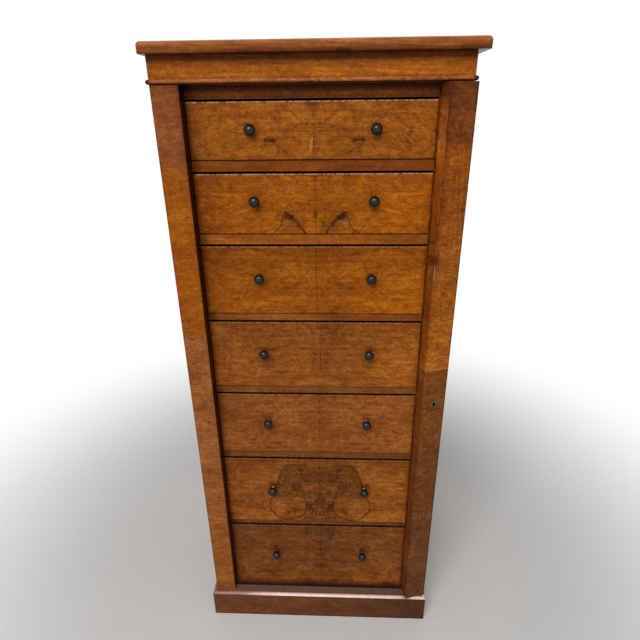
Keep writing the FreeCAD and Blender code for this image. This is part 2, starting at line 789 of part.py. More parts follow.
def make_leaf(name, side, z, screws):
    """One leaf of a butt hinge: a plate, and the knuckles that belong to it. The case's side is 1."""
    plate_edge = "-(hinge_barrel_radius + hinge_knuckle_gap)"
    root = "-(hinge_pin_radius + hinge_barrel_radius) / 2"
    y = sorted((f"{side} * {LEAF_FACE}", f"{side} * ({LEAF_FACE} + hinge_leaf_thickness)"), key=number)
    plate = board(f"{name}_plate", ("-hinge_reach", plate_edge), y, (z, f"{z} + hinge_length"))
    pieces = [plate]
    pitch = f"hinge_length / {KNUCKLES}"
    for i in range(KNUCKLES):
        if (i % 2 == 0) != (side > 0):
            continue
        foot = f"{z} + {i} * {pitch} + hinge_knuckle_gap / 2"
        length = f"{pitch} - hinge_knuckle_gap"
        pieces.append(board(f"{name}_tongue_{i}", (plate_edge, root), y, (foot, f"{foot} + {length}")))
        pieces.append(rod(f"{name}_knuckle_{i}", "hinge_barrel_radius", length, z=foot))
    clearance = "0" if side > 0 else "hinge_pin_clearance"
    bore = rod(f"{name}_bore", f"hinge_pin_radius + {clearance}", "hinge_length", z=z)
    return cut(f"{name}_cut", fused(f"{name}_blank", pieces), bore, *screws)


def make_leaf_screws(name, side, z):
    """Two screws through a leaf."""
    x = "-(hinge_reach + hinge_barrel_radius) / 2"
    y = f"{side} * {LEAF_FACE}"
    spots = (f"{z} + hinge_length / {KNUCKLES}", f"{z} + hinge_length - hinge_length / {KNUCKLES}")
    return [make_screw(f"{name}_{i}", side, x, y, spot) for i, spot in enumerate(spots)]


def make_hinges():
    """The leaves, the pins and the screws, sorted by what they are fixed to."""
    case = {"leaves": [], "screws": [], "pins": []}
    stile = {"leaves": [], "screws": []}
    for i in range(HINGES):
        z = f"(hinge_end_distance - hinge_length / 2 + {i} * {HINGE_PITCH})"
        for owner, side_name, side in ((case, "case", 1), (stile, "stile", -1)):
            screws = make_leaf_screws(f"{side_name}_screw_{i}", side, z)
            owner["leaves"].append(make_leaf(f"{side_name}_leaf_{i}", side, z, screws))
            owner["screws"] += screws
        case["pins"].append(rod(f"hinge_pin_{i}", "hinge_pin_radius", "hinge_length", z=z))
    return case, stile


def make_keyhole(name, radius, slot_radius, y_low, y_high):
    """A round hole with a slot below it, right through along Y."""
    length = f"{y_high} - ({y_low})"
    pieces = [
        rod(f"{name}_round", radius, length),
        rod(f"{name}_end", slot_radius, length, y="-keyhole_drop"),
        board(f"{name}_slot", (f"-{slot_radius}", slot_radius), ("-keyhole_drop", "0"), ("0", length)),
    ]
    prism = fused(name, pieces)
    prism.Placement.Rotation = FreeCAD.Rotation(FreeCAD.Vector(1, 0, 0), 90)
    return place(prism, KEYHOLE_X, y_high, "keyhole_level")


def make_key_cut():
    """What the keyhole takes out of the escutcheon, the stile and the front half of the lock."""
    front = f"{STILE_FRONT} - escutcheon_proud - {OVERCUT}"
    back = f"{STILE_BACK} - lock_depth / 2"
    return make_keyhole("key_cut", "keyhole_radius", "keyhole_slot_radius", front, back)


def make_escutcheon_blank():
    front = f"{STILE_FRONT} - escutcheon_proud"
    back = f"{front} + escutcheon_thickness"
    return make_keyhole("escutcheon_blank", "escutcheon_radius", "escutcheon_lobe_radius", front, back)


def make_lock_block():
    """The lock case before its cavities are cut."""
    return board(
        "lock_block",
        (f"{KEYHOLE_X} - lock_width / 2", f"{KEYHOLE_X} + lock_width / 2"),
        (f"{STILE_BACK} - lock_depth", STILE_BACK),
        ("keyhole_level - lock_height / 2", "keyhole_level + lock_height / 2"),
    )


def make_staple_entry():
    """The cavity that the staple swings into."""
    half_width = "(staple_width / 2 + staple_side_clearance)"
    half_height = "(staple_height / 2 + staple_end_clearance)"
    return board(
        "staple_entry",
        (f"{BOLT_X} - {half_width}", f"{BOLT_X} + {half_width}"),
        ("hinge_gap / 2 - staple_reach - staple_tip_clearance", f"{STILE_BACK} + {OVERCUT}"),
        (f"{STAPLE_Z} - {half_height}", f"{STAPLE_Z} + {half_height}"),
    )


def make_bolt(name, clearance, travel):
    """The square bolt, or with a clearance and its travel the channel that it runs in."""
    half = f"(bolt_size / 2 + {clearance})"
    return board(
        name,
        (f"{BOLT_X} - {half}", f"{BOLT_X} + {half}"),
        (f"{BOLT_Y} - {half}", f"{BOLT_Y} + {half}"),
        (f"{BOLT_FOOT} - {clearance}", f"{BOLT_FOOT} + bolt_length + {travel} + {clearance}"),
    )


def make_staple():
    """A plate let into the front stile, with a lug whose eye takes the bolt."""
    plate_front = "hinge_gap / 2"
    plate = board(
        "staple_plate",
        (f"{BOLT_X} - staple_plate_width / 2", f"{BOLT_X} + staple_plate_width / 2"),
        (plate_front, f"{plate_front} + staple_plate_thickness"),
        (f"{STAPLE_Z} - staple_plate_height / 2", f"{STAPLE_Z} + staple_plate_height / 2"),
    )
    lug_levels = (f"{STAPLE_Z} - staple_height / 2", f"{STAPLE_Z} + staple_height / 2")
    lug = board(
        "staple_lug",
        (f"{BOLT_X} - staple_width / 2", f"{BOLT_X} + staple_width / 2"),
        (f"{plate_front} - staple_reach", plate_front),
        lug_levels,
    )
    half = "(bolt_size / 2 + staple_eye_clearance)"
    eye = board(
        "staple_eye",
        (f"{BOLT_X} - {half}", f"{BOLT_X} + {half}"),
        (f"{BOLT_Y} - {half}", f"{BOLT_Y} + {half}"),
        lug_levels,
    )
    screws = []
    for i, up in enumerate((-1, 1)):
        level = f"{STAPLE_Z} + {up} * staple_plate_height / 3"
        screws.append(make_screw(f"staple_screw_{i}", 1, BOLT_X, plate_front, level))
    return cut("staple", fused("staple_blank", [plate, lug]), eye, *screws), screws


def make_lock_stile_blank():
    body = new_body("lock_stile")
    corners = [
        (STILE_INSIDE, STILE_FRONT),
        (STILE_OUTSIDE, STILE_FRONT),
        (STILE_OUTSIDE, STILE_BACK),
        (STILE_INSIDE, STILE_BACK),
    ]
    pad(body, "XY_Plane", corners, STILE_LENGTH)
    return body


# The hinges and the lock come first, because they cut their own recesses
case_half, stile_half = make_hinges()
staple, staple_screws = make_staple()
key_cut = make_key_cut()
lock_block = make_lock_block()
escutcheon_blank = make_escutcheon_blank()
case_leaves = on_case(group("case_leaf_set", case_half["leaves"] + case_half["pins"]))
case_screws = on_case(group("case_screw_set", case_half["screws"] + staple_screws))
case_staple = on_case(group("staple_set", [staple]))
stile_leaves = group("stile_leaf_set", stile_half["leaves"])
stile_screws = group("stile_screw_set", stile_half["screws"])

# Case
right_side = cut("side_right_cut", make_case_side("side_right", SIDES["right"]), case_leaves, case_screws)
left_stile = make_front_stile("front_stile_left", f"-({INSIDE})", OPENING_LEFT)
right_stile = make_front_stile("front_stile_right", OPENING_RIGHT, INSIDE)
right_stile = cut("front_stile_right_cut", right_stile, case_staple, case_screws)
face_y = (FRONT, DRAWER_PLANE)
pilaster = board("pilaster", ("-case_width / 2", OPENING_LEFT), face_y, ("plinth_height", FRIEZE_BOTTOM))
frieze = board("frieze", ("-case_width / 2", "case_width / 2"), face_y, (FRIEZE_BOTTOM, FRIEZE_TOP))
rails = [make_rail(f"rail_{n}", f"rail_{n}_height", CEILING[n + 1]) for n in DRAWERS if n + 1 in DRAWERS]
sub_part("left_case_side", make_case_side("side_left", SIDES["left"]))
sub_part("right_case_side", right_side)
sub_part("back_boards", make_back_boards())
sub_part("front_stiles", group("front_stile_set", [left_stile, right_stile]))
sub_part("left_pilaster", pilaster)
sub_part("top_slab", make_slab())
sub_part("frieze_rail", frieze)
sub_part("astragal_moulding", make_astragal())
sub_part("plinth_boards", make_plinth())
sub_part("base_board", make_base_board())
sub_part("glue_blocks", make_glue_blocks())
sub_part("top_rail", make_rail("rail_top", "top_rail_height", CEILING[1]))
sub_part("drawer_rails", group("rail_set", rails))
sub_part("drawer_runners", make_runners_and_guides())
sub_part("dust_boards", make_dust_boards())
sub_part("drawer_stops", make_stops())
sub_part("hinge_case_leaves", case_leaves)
sub_part("case_screws", case_screws)
sub_part("lock_staple", case_staple)

# Locking stile
stile_tools = (stile_leaves, stile_screws, lock_block, escutcheon_blank, key_cut)
channel = make_bolt("bolt_channel", "bolt_clearance", "bolt_travel")
stile_pieces = {
    "locking_stile": cut("lock_stile_cut", make_lock_stile_blank(), *stile_tools),
    "hinge_stile_leaves": stile_leaves,
    "stile_screws": stile_screws,
    "lock_case": cut("lock_case_cut", lock_block, make_staple_entry(), channel, key_cut),
    "lock_bolt": make_bolt("bolt", "0", "0"),
    "escutcheon": cut("escutcheon_cut", escutcheon_blank, key_cut),
}
for piece_name, piece in stile_pieces.items():
    sub_part(piece_name, on_stile(group(f"{piece_name}_hung", [piece])))

# Drawers
for n in DRAWERS:
    make_drawer(n)

# Check every object and every sub-part, then write the sub-parts
doc.recompute()
faults = [item.Name for item in doc.Objects if "Invalid" in item.State or "Error" in item.State]
faults += [item.Label for item in sub_parts if item.Shape.isNull() or not item.Shape.isValid()]
if faults:
    raise SystemExit(f"These objects failed: {faults}")

os.makedirs("parts", exist_ok=True)
for item in sub_parts:
    item.Shape.exportStep(f"parts/{item.Label}.step")
    print(f"{item.Label}: {len(item.Shape.Solids)} solids, {item.Shape.Volume / 1000:.1f} cm3")
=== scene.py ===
import json
import math
from collections import namedtuple

import bmesh
import bpy
from mathutils import Matrix, Vector

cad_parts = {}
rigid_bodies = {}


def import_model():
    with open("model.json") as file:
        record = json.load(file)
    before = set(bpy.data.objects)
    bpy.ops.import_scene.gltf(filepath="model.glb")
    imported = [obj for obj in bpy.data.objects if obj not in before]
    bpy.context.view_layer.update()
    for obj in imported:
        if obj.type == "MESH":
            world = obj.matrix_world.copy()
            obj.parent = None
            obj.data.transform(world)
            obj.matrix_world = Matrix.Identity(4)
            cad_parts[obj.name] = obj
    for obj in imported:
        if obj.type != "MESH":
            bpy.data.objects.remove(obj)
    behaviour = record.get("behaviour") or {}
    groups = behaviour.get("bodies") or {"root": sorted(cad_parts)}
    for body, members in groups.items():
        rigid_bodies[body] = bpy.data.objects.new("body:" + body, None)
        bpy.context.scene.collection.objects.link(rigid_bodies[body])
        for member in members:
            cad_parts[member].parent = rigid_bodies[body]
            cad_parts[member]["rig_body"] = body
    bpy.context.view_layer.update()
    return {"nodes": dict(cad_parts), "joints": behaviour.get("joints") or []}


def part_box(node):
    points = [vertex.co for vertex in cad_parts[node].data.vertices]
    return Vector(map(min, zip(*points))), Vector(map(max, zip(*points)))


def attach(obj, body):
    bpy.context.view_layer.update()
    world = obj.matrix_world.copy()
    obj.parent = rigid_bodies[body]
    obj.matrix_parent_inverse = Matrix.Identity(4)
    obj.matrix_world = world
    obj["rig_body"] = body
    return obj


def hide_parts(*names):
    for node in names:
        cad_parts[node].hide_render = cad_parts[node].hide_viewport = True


# The dressed wellington chest. Lengths are metres. X runs across the front, Y to the back, Z up.

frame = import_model()
nodes = frame["nodes"]

DRAWERS = range(1, 8)


def joint_named(name):
    """The frame's joint of this name."""
    return next(joint for joint in frame["joints"] if joint["name"] == name)


# The locking stile stands ajar. STILE_TURN brings it back to shut, with its hinge at the origin.
STILE_HINGE = joint_named("locking_stile_hinge")
AJAR = -math.radians(STILE_HINGE["range_deg"][0])
HINGE_X, HINGE_Y = STILE_HINGE["pos_m"][:2]
STILE_TURN = Matrix.Rotation(-AJAR, 4, "Z") @ Matrix.Translation((-HINGE_X, -HINGE_Y, 0))

# Camera: the photograph's place and angle, for a square picture
PICTURE_SIZE = 640
FOCAL_PIXELS = 480.543
CAMERA_AT = (0.0444, -0.98629, 1.13329)
CAMERA_YAW = math.radians(-2.3901)
CAMERA_PITCH = math.radians(23.4440)
CAMERA_ROLL = math.radians(-0.6295)
SENSOR_WIDTH = 36


def make_camera():
    """A level camera along +Y that is turned, tipped down and rolled a little."""
    data = bpy.data.cameras.new("camera")
    data.sensor_width = SENSOR_WIDTH
    data.lens = FOCAL_PIXELS / PICTURE_SIZE * SENSOR_WIDTH
    camera = bpy.data.objects.new("camera", data)
    bpy.context.scene.collection.objects.link(camera)
    ahead = Vector(
        (
            math.sin(CAMERA_YAW) * math.cos(CAMERA_PITCH),
            math.cos(CAMERA_YAW) * math.cos(CAMERA_PITCH),
            -math.sin(CAMERA_PITCH),
        )
    )
    level = Vector((math.cos(CAMERA_YAW), -math.sin(CAMERA_YAW), 0))
    steep = level.cross(ahead)
    right = math.cos(CAMERA_ROLL) * level + math.sin(CAMERA_ROLL) * steep
    up = math.cos(CAMERA_ROLL) * steep - math.sin(CAMERA_ROLL) * level
    turn = Matrix((right, up, -ahead)).transposed()
    camera.matrix_world = Matrix.Translation(CAMERA_AT) @ turn.to_4x4()
    bpy.context.scene.camera = camera


# Materials are written as arithmetic on wires
class Wire:
    """A number that runs through a material's graph."""

    def __init__(self, graph, socket):
        self.graph = graph
        self.socket = socket

    def __add__(self, other):
        return self.graph.math("ADD", self, other)

    __radd__ = __add__

    def __mul__(self, other):
        return self.graph.math("MULTIPLY", self, other)

    __rmul__ = __mul__

    def __sub__(self, other):
        return self.graph.math("SUBTRACT", self, other)

    def __rsub__(self, other):
        return self.graph.math("SUBTRACT", other, self)

    def __truediv__(self, other):
        return self.graph.math("DIVIDE", self, other)

    def __abs__(self):
        return self.graph.math("ABSOLUTE", self)


class Graph:
    """A material and its nodes."""

    def __init__(self, name):
        self.material = bpy.data.materials.new(name)
        self.material.use_nodes = True
        self.tree = self.material.node_tree
        self.tree.nodes.clear()
        place = self.node("ShaderNodeTexCoord").outputs["Object"]
        split = self.node("ShaderNodeSeparateXYZ", {"Vector": place})
        self.x, self.y, self.z = (Wire(self, output) for output in split.outputs)

    def node(self, kind, feeds=None, **settings):
        """Add a node with its settings, and feed its inputs."""
        made = self.tree.nodes.new(kind)
        for name, value in settings.items():
            setattr(made, name, value)
        for name, value in (feeds or {}).items():
            self.feed(made.inputs[name], value)
        return made

    def feed(self, socket, value):
        """Give an input a wire, another node's output or a plain value."""
        if isinstance(value, Wire):
            value = value.socket
        if isinstance(value, bpy.types.NodeSocket):
            self.tree.links.new(value, socket)
        else:
            socket.default_value = value

    def math(self, operation, *values):
        """A wire with the result of a sum on wires and numbers."""
        made = self.node("ShaderNodeMath", operation=operation)
        for socket, value in zip(made.inputs, values):
            self.feed(socket, value)
        return Wire(self, made.outputs[0])

    def lower(self, *values):
        """The lowest of some values."""
        result = values[0]
        for value in values[1:]:
            result = self.math("MINIMUM", result, value)
        return result

    def higher(self, *values):
        """The highest of some values."""
        result = values[0]
        for value in values[1:]:
            result = self.math("MAXIMUM", result, value)
        return result

    def rise(self, value, low, high):
        """From 0 below low to 1 above high, smoothly."""
        feeds = {"Value": value, "From Min": low, "From Max": high}
        made = self.node("ShaderNodeMapRange", feeds, interpolation_type="SMOOTHSTEP")
        return Wire(self, made.outputs[0])

    def fall(self, value, low, high):
        """From 1 below low to 0 above high, smoothly."""
        return 1 - self.rise(value, low, high)

    def near(self, value, thin, wide):
        """1 where a value is within thin of nought, and 0 beyond wide."""
        return self.fall(abs(value), thin, wide)

    def noise(self, x, y, z, detail=1.0, roughness=0.5, distortion=0.0):
        """Noise from about 0.2 to 0.8 with spots one unit wide."""
        place = self.node("ShaderNodeCombineXYZ", {"X": x, "Y": y, "Z": z}).outputs[0]
        feeds = {
            "Vector": place,
            "Scale": 1.0,
            "Detail": detail,
            "Roughness": roughness,
            "Distortion": distortion,
        }
        return Wire(self, self.node("ShaderNodeTexNoise", feeds).outputs[0])

    def speckle(self, scale, detail):
        """Noise with so many spots in a metre."""
        return self.noise(self.x * scale, self.y * scale, self.z * scale, detail)

    def reach(self, across, at, size, slant=0.0):
        """How far out a point of the front is in an ellipse: 1 on its outline, 0 at its middle."""
        x = across - at[0]
        z = self.z - at[1]
        if slant:
            z = z + x * slant
        x = x / size[0]
        z = z / size[1]
        return self.math("SQRT", x * x + z * z)

    def blot(self, across, at, size, soft, ragged=0.0, slant=0.0):
        """1 in an ellipse of the front and 0 outside it. soft is from where to where it fades."""
        return self.fall(self.reach(across, at, size, slant) + ragged, *soft)

    def tint(self, share, below, above, blend="MIX"):
        """Mix a share of one colour into another."""
        made = self.node("ShaderNodeMix", data_type="RGBA", blend_type=blend)
        self.feed(made.inputs[0], share)
        for socket, colour in zip(made.inputs[6:8], (below, above)):
            self.feed(socket, (*colour, 1.0) if isinstance(colour, tuple) else colour)
        return made.outputs[2]

    def finish(self, colour, roughness, height, depth, **numbers):
        """Join these to the surface. The other numbers are the shader's own."""
        shader = self.node("ShaderNodeBsdfPrincipled")
        for name, value in numbers.items():
            shader.inputs[name.replace("_", " ")].default_value = value
        self.feed(shader.inputs["Base Color"], colour)
        self.feed(shader.inputs["Roughness"], roughness)
        bump = self.node("ShaderNodeBump", {"Height": height, "Distance": depth, "Strength": 1.0})
        self.feed(shader.inputs["Normal"], bump.outputs[0])
        output = self.node("ShaderNodeOutputMaterial")
        self.feed(output.inputs["Surface"], shader.outputs[0])
        return self.material


# Wood: each has a middle colour, and these make its dark and light colour from that
DARKER = (0.36, 0.29, 0.35)
LIGHTER = (1.70, 2.15, 3.60)
WALNUT = (0.245, 0.064, 0.0035)
OAK = (0.36, 0.205, 0.085)
PINE = (0.42, 0.235, 0.090)
OLD_PINE = (0.300, 0.158, 0.064)
DUST = (0.150, 0.098, 0.080)

# The layers of noise that make the tone of wood: the setting that strengthens each, its own
# strength, the length and width of its spots, its detail and its distortion
TONE_LAYERS = (
    ("cloud", 0.80, 0.075, 0.045, 2.0, 0.5),
    ("swirl", 0.95, 0.021, 0.015, 2.0, 1.2),
    ("fine", 0.75, 0.0095, 0.0068, 1.0, 1.0),
    ("grain", 0.36, 0.060, 0.0040, 1.0, 0.0),
    ("fine", 0.45, 0.0042, 0.0026, 0.0, 0.0),
)
SEED_STEP = 7.3
POLISHED_DEPTH = 0.00025
BARE_DEPTH = 0.0003
BARE_ROUGHNESS = 0.72


class Wood:
    """The colour and height of a piece of wood with its grain along one way."""

    def __init__(
        self, graph, along, across, depth, middle, seed, cloud=1.0, swirl=1.0, grain=1.0, fine=1.0
    ):
        self.graph = graph
        self.dark = graph.tint(1.0, middle, DARKER, "MULTIPLY")
        self.light = graph.tint(1.0, middle, LIGHTER, "MULTIPLY")
        self.along = along + seed * SEED_STEP
        sway = (graph.noise(self.along * 6, across * 14, depth * 14, 2.0) - 0.5) * 0.012
        self.across = across + sway
        self.depth = depth
        amounts = {"cloud": cloud, "swirl": swirl, "grain": grain, "fine": fine}
        self.tone = 0.5
        for setting, strength, length, width, detail, distortion in TONE_LAYERS:
            layer = self.layer(length, width, detail, distortion)
            self.tone = self.tone + layer * (strength * amounts[setting])
        colour = graph.tint(self.tone * 2, self.dark, middle)
        self.colour = graph.tint(self.tone * 2 - 1, colour, self.light)
        self.pores = graph.rise(self.layer(0.007, 0.0012), 0.13, 0.25)
        self.stain(self.pores * 0.35, self.dark)
        flecks = graph.rise(self.layer(0.0060, 0.0034, 1.0), 0.17, 0.23)
        self.stain(flecks * (0.65 * fine), self.dark)
        sparks = graph.fall(self.layer(0.0060, 0.0026, 1.0), -0.26, -0.18)
        self.stain(sparks * (0.55 * fine), self.light)

    def layer(self, length, width, detail=0.0, distortion=0.0):
        """Noise about zero whose spots are this long and wide in the wood."""
        place = (self.along / length, self.across / width, self.depth / width)
        return self.graph.noise(*place, detail, 0.5, distortion) - 0.5

    def stain(self, share, colour):
        """Change by a share, towards a colour."""
        self.colour = self.graph.tint(share, self.colour, colour)

    def shade(self, share, colour):
        """Change by a share, towards the wood times a colour."""
        self.colour = self.graph.tint(share, self.colour, colour, "MULTIPLY")

    def polished(self, roughness=0.36, calm=0.0, shine=0.09):
        """A waxed, polished surface. calm is the share of smoother, glossier places."""
        wear = self.graph.speckle(30, 3.0) - 0.5
        rest = 1 - calm * 0.65
        surface = (roughness + wear * 0.22 + self.pores * 0.15) * rest
        height = (self.tone * 0.25 - self.pores * 0.5) * rest
        return self.graph.finish(
            self.colour, surface, height, POLISHED_DEPTH, Specular_IOR_Level=shine
        )

    def bare(self):
        """A surface without polish."""
        surface = BARE_ROUGHNESS + self.pores * 0.15
        height = self.tone * 0.5 - self.pores
        return self.graph.finish(self.colour, surface, height, BARE_DEPTH, Specular_IOR_Level=0.1)


def wood_along(g, along, middle, seed, **settings):
    """Wood with its grain along x, y or z."""
    order = {"x": (g.x, g.z, g.y), "y": (g.y, g.x, g.z), "z": (g.z, g.x, g.y)}[along]
    return Wood(g, *order, middle, seed, **settings)


def edge_distance(g, value, low, high):
    """How far a place is from the nearer of two ends."""
    return g.lower(value - low, high - value)


def zoned(g, along, first, *zones):
    """A colour in zones, each given as its lower level, half the change's width and its colour."""
    colour = first
    for level, soft, zone in zones:
        colour = g.tint(g.rise(along, level - soft, level + soft), colour, zone)
    return colour


# Figures in the veneer of the drawer fronts. out is the distance from the joint between the two
# halves, and warp is a fine noise about nought that makes outlines ragged. Heights are above the
# floor. DEEP darkens the wood most.
DEEP = (0.20, 0.15, 0.22)

# On drawer 1: spots by their distance from the joint, height and size, and dots by their place
# across, height and half their own height
SPOTS = ((0.0665, 1.0905, 0.0046), (0.0722, 1.0915, 0.0034), (0.0780, 1.0915, 0.0042))
DOTS = (
    (-0.058, 1.124, 0.0042),
    (0.0235, 1.1225, 0.0030),
    (0.0275, 1.1215, 0.0034),
    (-0.103, 1.134, 0.002),
)


def spots_1(g, wood, out, warp):
    """A row of dark spots on each side, a curled patch at the right and a repaired crack."""
    curls = g.noise(out * 70, g.z * 190, 5.0, detail=3.0, roughness=0.6, distortion=2.0)
    wood.shade(g.rise(curls, 0.54, 0.64) * 0.35, (1.35, 1.40, 1.7))
    wood.shade(g.fall(curls, 0.36, 0.46) * 0.40, (0.62, 0.52, 0.55))

    halo = g.reach(out, at=(0.0722, 1.0908), size=(0.0105, 0.0068)) + warp * 0.8
    wood.shade(g.near(halo - 0.9, 0.10, 0.40) * 0.45, (0.6, 0.45, 0.45))
    for u, z, size in SPOTS:
        both_ways = (size, size * 0.75)
        spot = g.blot(out, at=(u, z), size=both_ways, ragged=warp * 0.9, soft=(0.65, 1.2))
        wood.shade(spot * 0.82, DEEP)

    curl = g.noise((g.x - g.z) * 60, (g.x + g.z) * 230, 0.0, detail=1.0, distortion=1.5)
    patch = g.blot(g.x, at=(0.154, 1.088), size=(0.026, 0.020), ragged=warp, soft=(0.6, 1.1))
    wood.shade(patch * g.fall(curl, 0.40, 0.52) * 0.6, (0.6, 0.45, 0.45))
    wood.shade(patch * g.rise(curl, 0.52, 0.62) * 0.6, (1.35, 1.5, 1.8))

    slit = g.x + 0.0012 - (g.z - 1.086) * 0.18 + warp * 0.003
    crack = g.near(slit, 0.0006, 0.0032) * g.near(g.z - 1.0840, 0.007, 0.015)
    wood.stain(crack * 0.50, (0.46, 0.22, 0.08))
    across = g.near(g.z - 1.1150 + warp * 0.006, 0.0004, 0.0018) * g.near(g.x + 0.004, 0.02, 0.045)
    wood.shade(across * 0.6, (0.5, 0.4, 0.4))

    for x, z, tall in DOTS:
        dot = g.blot(g.x, at=(x, z), size=(0.0016, tall), ragged=warp, soft=(0.6, 1.4))
        wood.shade(dot * 0.6, (0.4, 0.3, 0.3))


# Small dark dots on drawer 2
ARCH_DOTS = ((0.107, 1.020), (0.086, 1.0085), (-0.0285, 0.9915), (-0.007, 0.9890), (0.018, 0.957))


def arches_2(g, wood, out, warp):
    """A ragged, pointed dark arch on each side, on the lower edge, with a pale heart."""
    foot, height = 0.940, 0.037
    share = g.higher(0.001, g.lower(1.0, (g.z - foot) / height))
    below = g.fall(g.z, 0.9755, 0.9785)
    inner = out - 0.018 - g.math("POWER", share, 1.3) * 0.034 + warp * 0.012
    outer = 0.076 - g.math("POWER", share, 0.5) * 0.024 - out + warp * 0.009
    inside = g.rise(inner, 0.0, 0.001) * g.rise(outer, 0.0, 0.001) * below
    wood.shade(inside * 0.6, (0.95, 1.08, 2.2))
    heart = g.blot(
        out, at=(0.0475, 0.9600), size=(0.0085, 0.0085), ragged=warp * 1.2, soft=(0.5, 1.2)
    )
    wood.shade(heart * inside * 0.55, (1.05, 1.7, 9.0))
    vein = g.noise(out * 130, g.z * 90, 3.0, detail=2.0, distortion=2.0)
    wood.shade(inside * g.near(vein - 0.5, 0.010, 0.040) * 0.3, (0.45, 0.40, 0.45))

    wide = 0.0036 + g.rise(share, 0.3, 0.6) * 0.0022
    ragged = g.noise(g.x * 200, g.z * 200, 2.0, detail=2.0) * 0.6
    wood.shade(g.near(inner - 0.001, wide * 0.45, wide) * below * (0.5 + ragged), DEEP)
    peak = g.blot(
        out, at=(0.0455, 0.9675), size=(0.0090, 0.0056), ragged=warp * 1.6, soft=(0.6, 1.2)
    )
    wood.shade(peak * (0.5 + ragged), DEEP)
    wood.shade(g.near(outer, 0.0006, 0.0023) * below * (0.35 + ragged), DEEP)

    knot = g.blot(
        g.x, at=(0.0040, 0.973), size=(0.0035, 0.0055), ragged=warp * 1.2, soft=(0.5, 1.5)
    )
    wood.shade(knot * 0.8, (0.42, 0.18, 0.2))
    for place in ARCH_DOTS:
        dot = g.blot(g.x, at=place, size=(0.0030, 0.0020), ragged=warp, soft=(0.6, 1.3))
        wood.shade(dot * 0.55, (0.4, 0.22, 0.25))


def smudges_3(g, wood, out, warp):
    """A low dark smudge on each side."""
    smudge = g.blot(
        out, at=(0.075, 0.9035), size=(0.011, 0.0045), ragged=warp * 1.5, soft=(0.4, 1.3)
    )
    wood.shade(smudge * 0.5, (0.55, 0.5, 0.6))


def burr_4(g, wood, out, warp):
    """A small burr of dark specks over the joint and a short dark stroke on each side."""
    burr = g.blot(
        g.x, at=(0.010, 0.692), size=(0.030, 0.022), ragged=warp * 1.2, soft=(0.45, 1.15)
    )
    specks = g.rise(g.noise(g.x * 260, g.z * 260, 4.0), 0.50, 0.60)
    wood.shade(burr * specks * 0.75, (0.42, 0.33, 0.38))
    wood.shade(burr * 0.35, (0.75, 0.62, 0.75))
    stroke = g.blot(
        out, at=(0.062, 0.722), size=(0.009, 0.0022), ragged=warp, soft=(0.6, 1.3), slant=0.8
    )
    wood.shade(stroke * 0.65, (0.5, 0.42, 0.5))
    corner = g.rise(g.x, 0.0095, 0.0105) * g.rise(g.z, 0.722, 0.728) * g.fall(g.x, 0.05, 0.08)
    wood.shade(corner * 0.4, (0.6, 0.5, 0.5))


def mark_5(g, wood, out, warp):
    """A dark mark on the joint."""
    mark = g.blot(out, at=(0.0, 0.5445), size=(0.0030, 0.0050), ragged=warp, soft=(0.6, 1.4))
    wood.shade(mark * 0.6, (0.5, 0.4, 0.4))


# Places in the large burr: distance from the joint, height, half width, half height and share
BURR_EYES = (
    (0.051, 0.372, 0.016, 0.014, 0.75),
    (0.024, 0.314, 0.010, 0.012, 0.80),
    (0.006, 0.330, 0.007, 0.018, 0.65),
    (0.062, 0.337, 0.006, 0.008, 0.35),
    (0.020, 0.400, 0.012, 0.018, 0.35),
)
BURR_GLOWS = (
    (0.020, 0.368, 0.010, 0.014, 0.5),
    (0.058, 0.400, 0.008, 0.012, 0.5),
    (0.018, 0.296, 0.012, 0.008, 0.5),
)


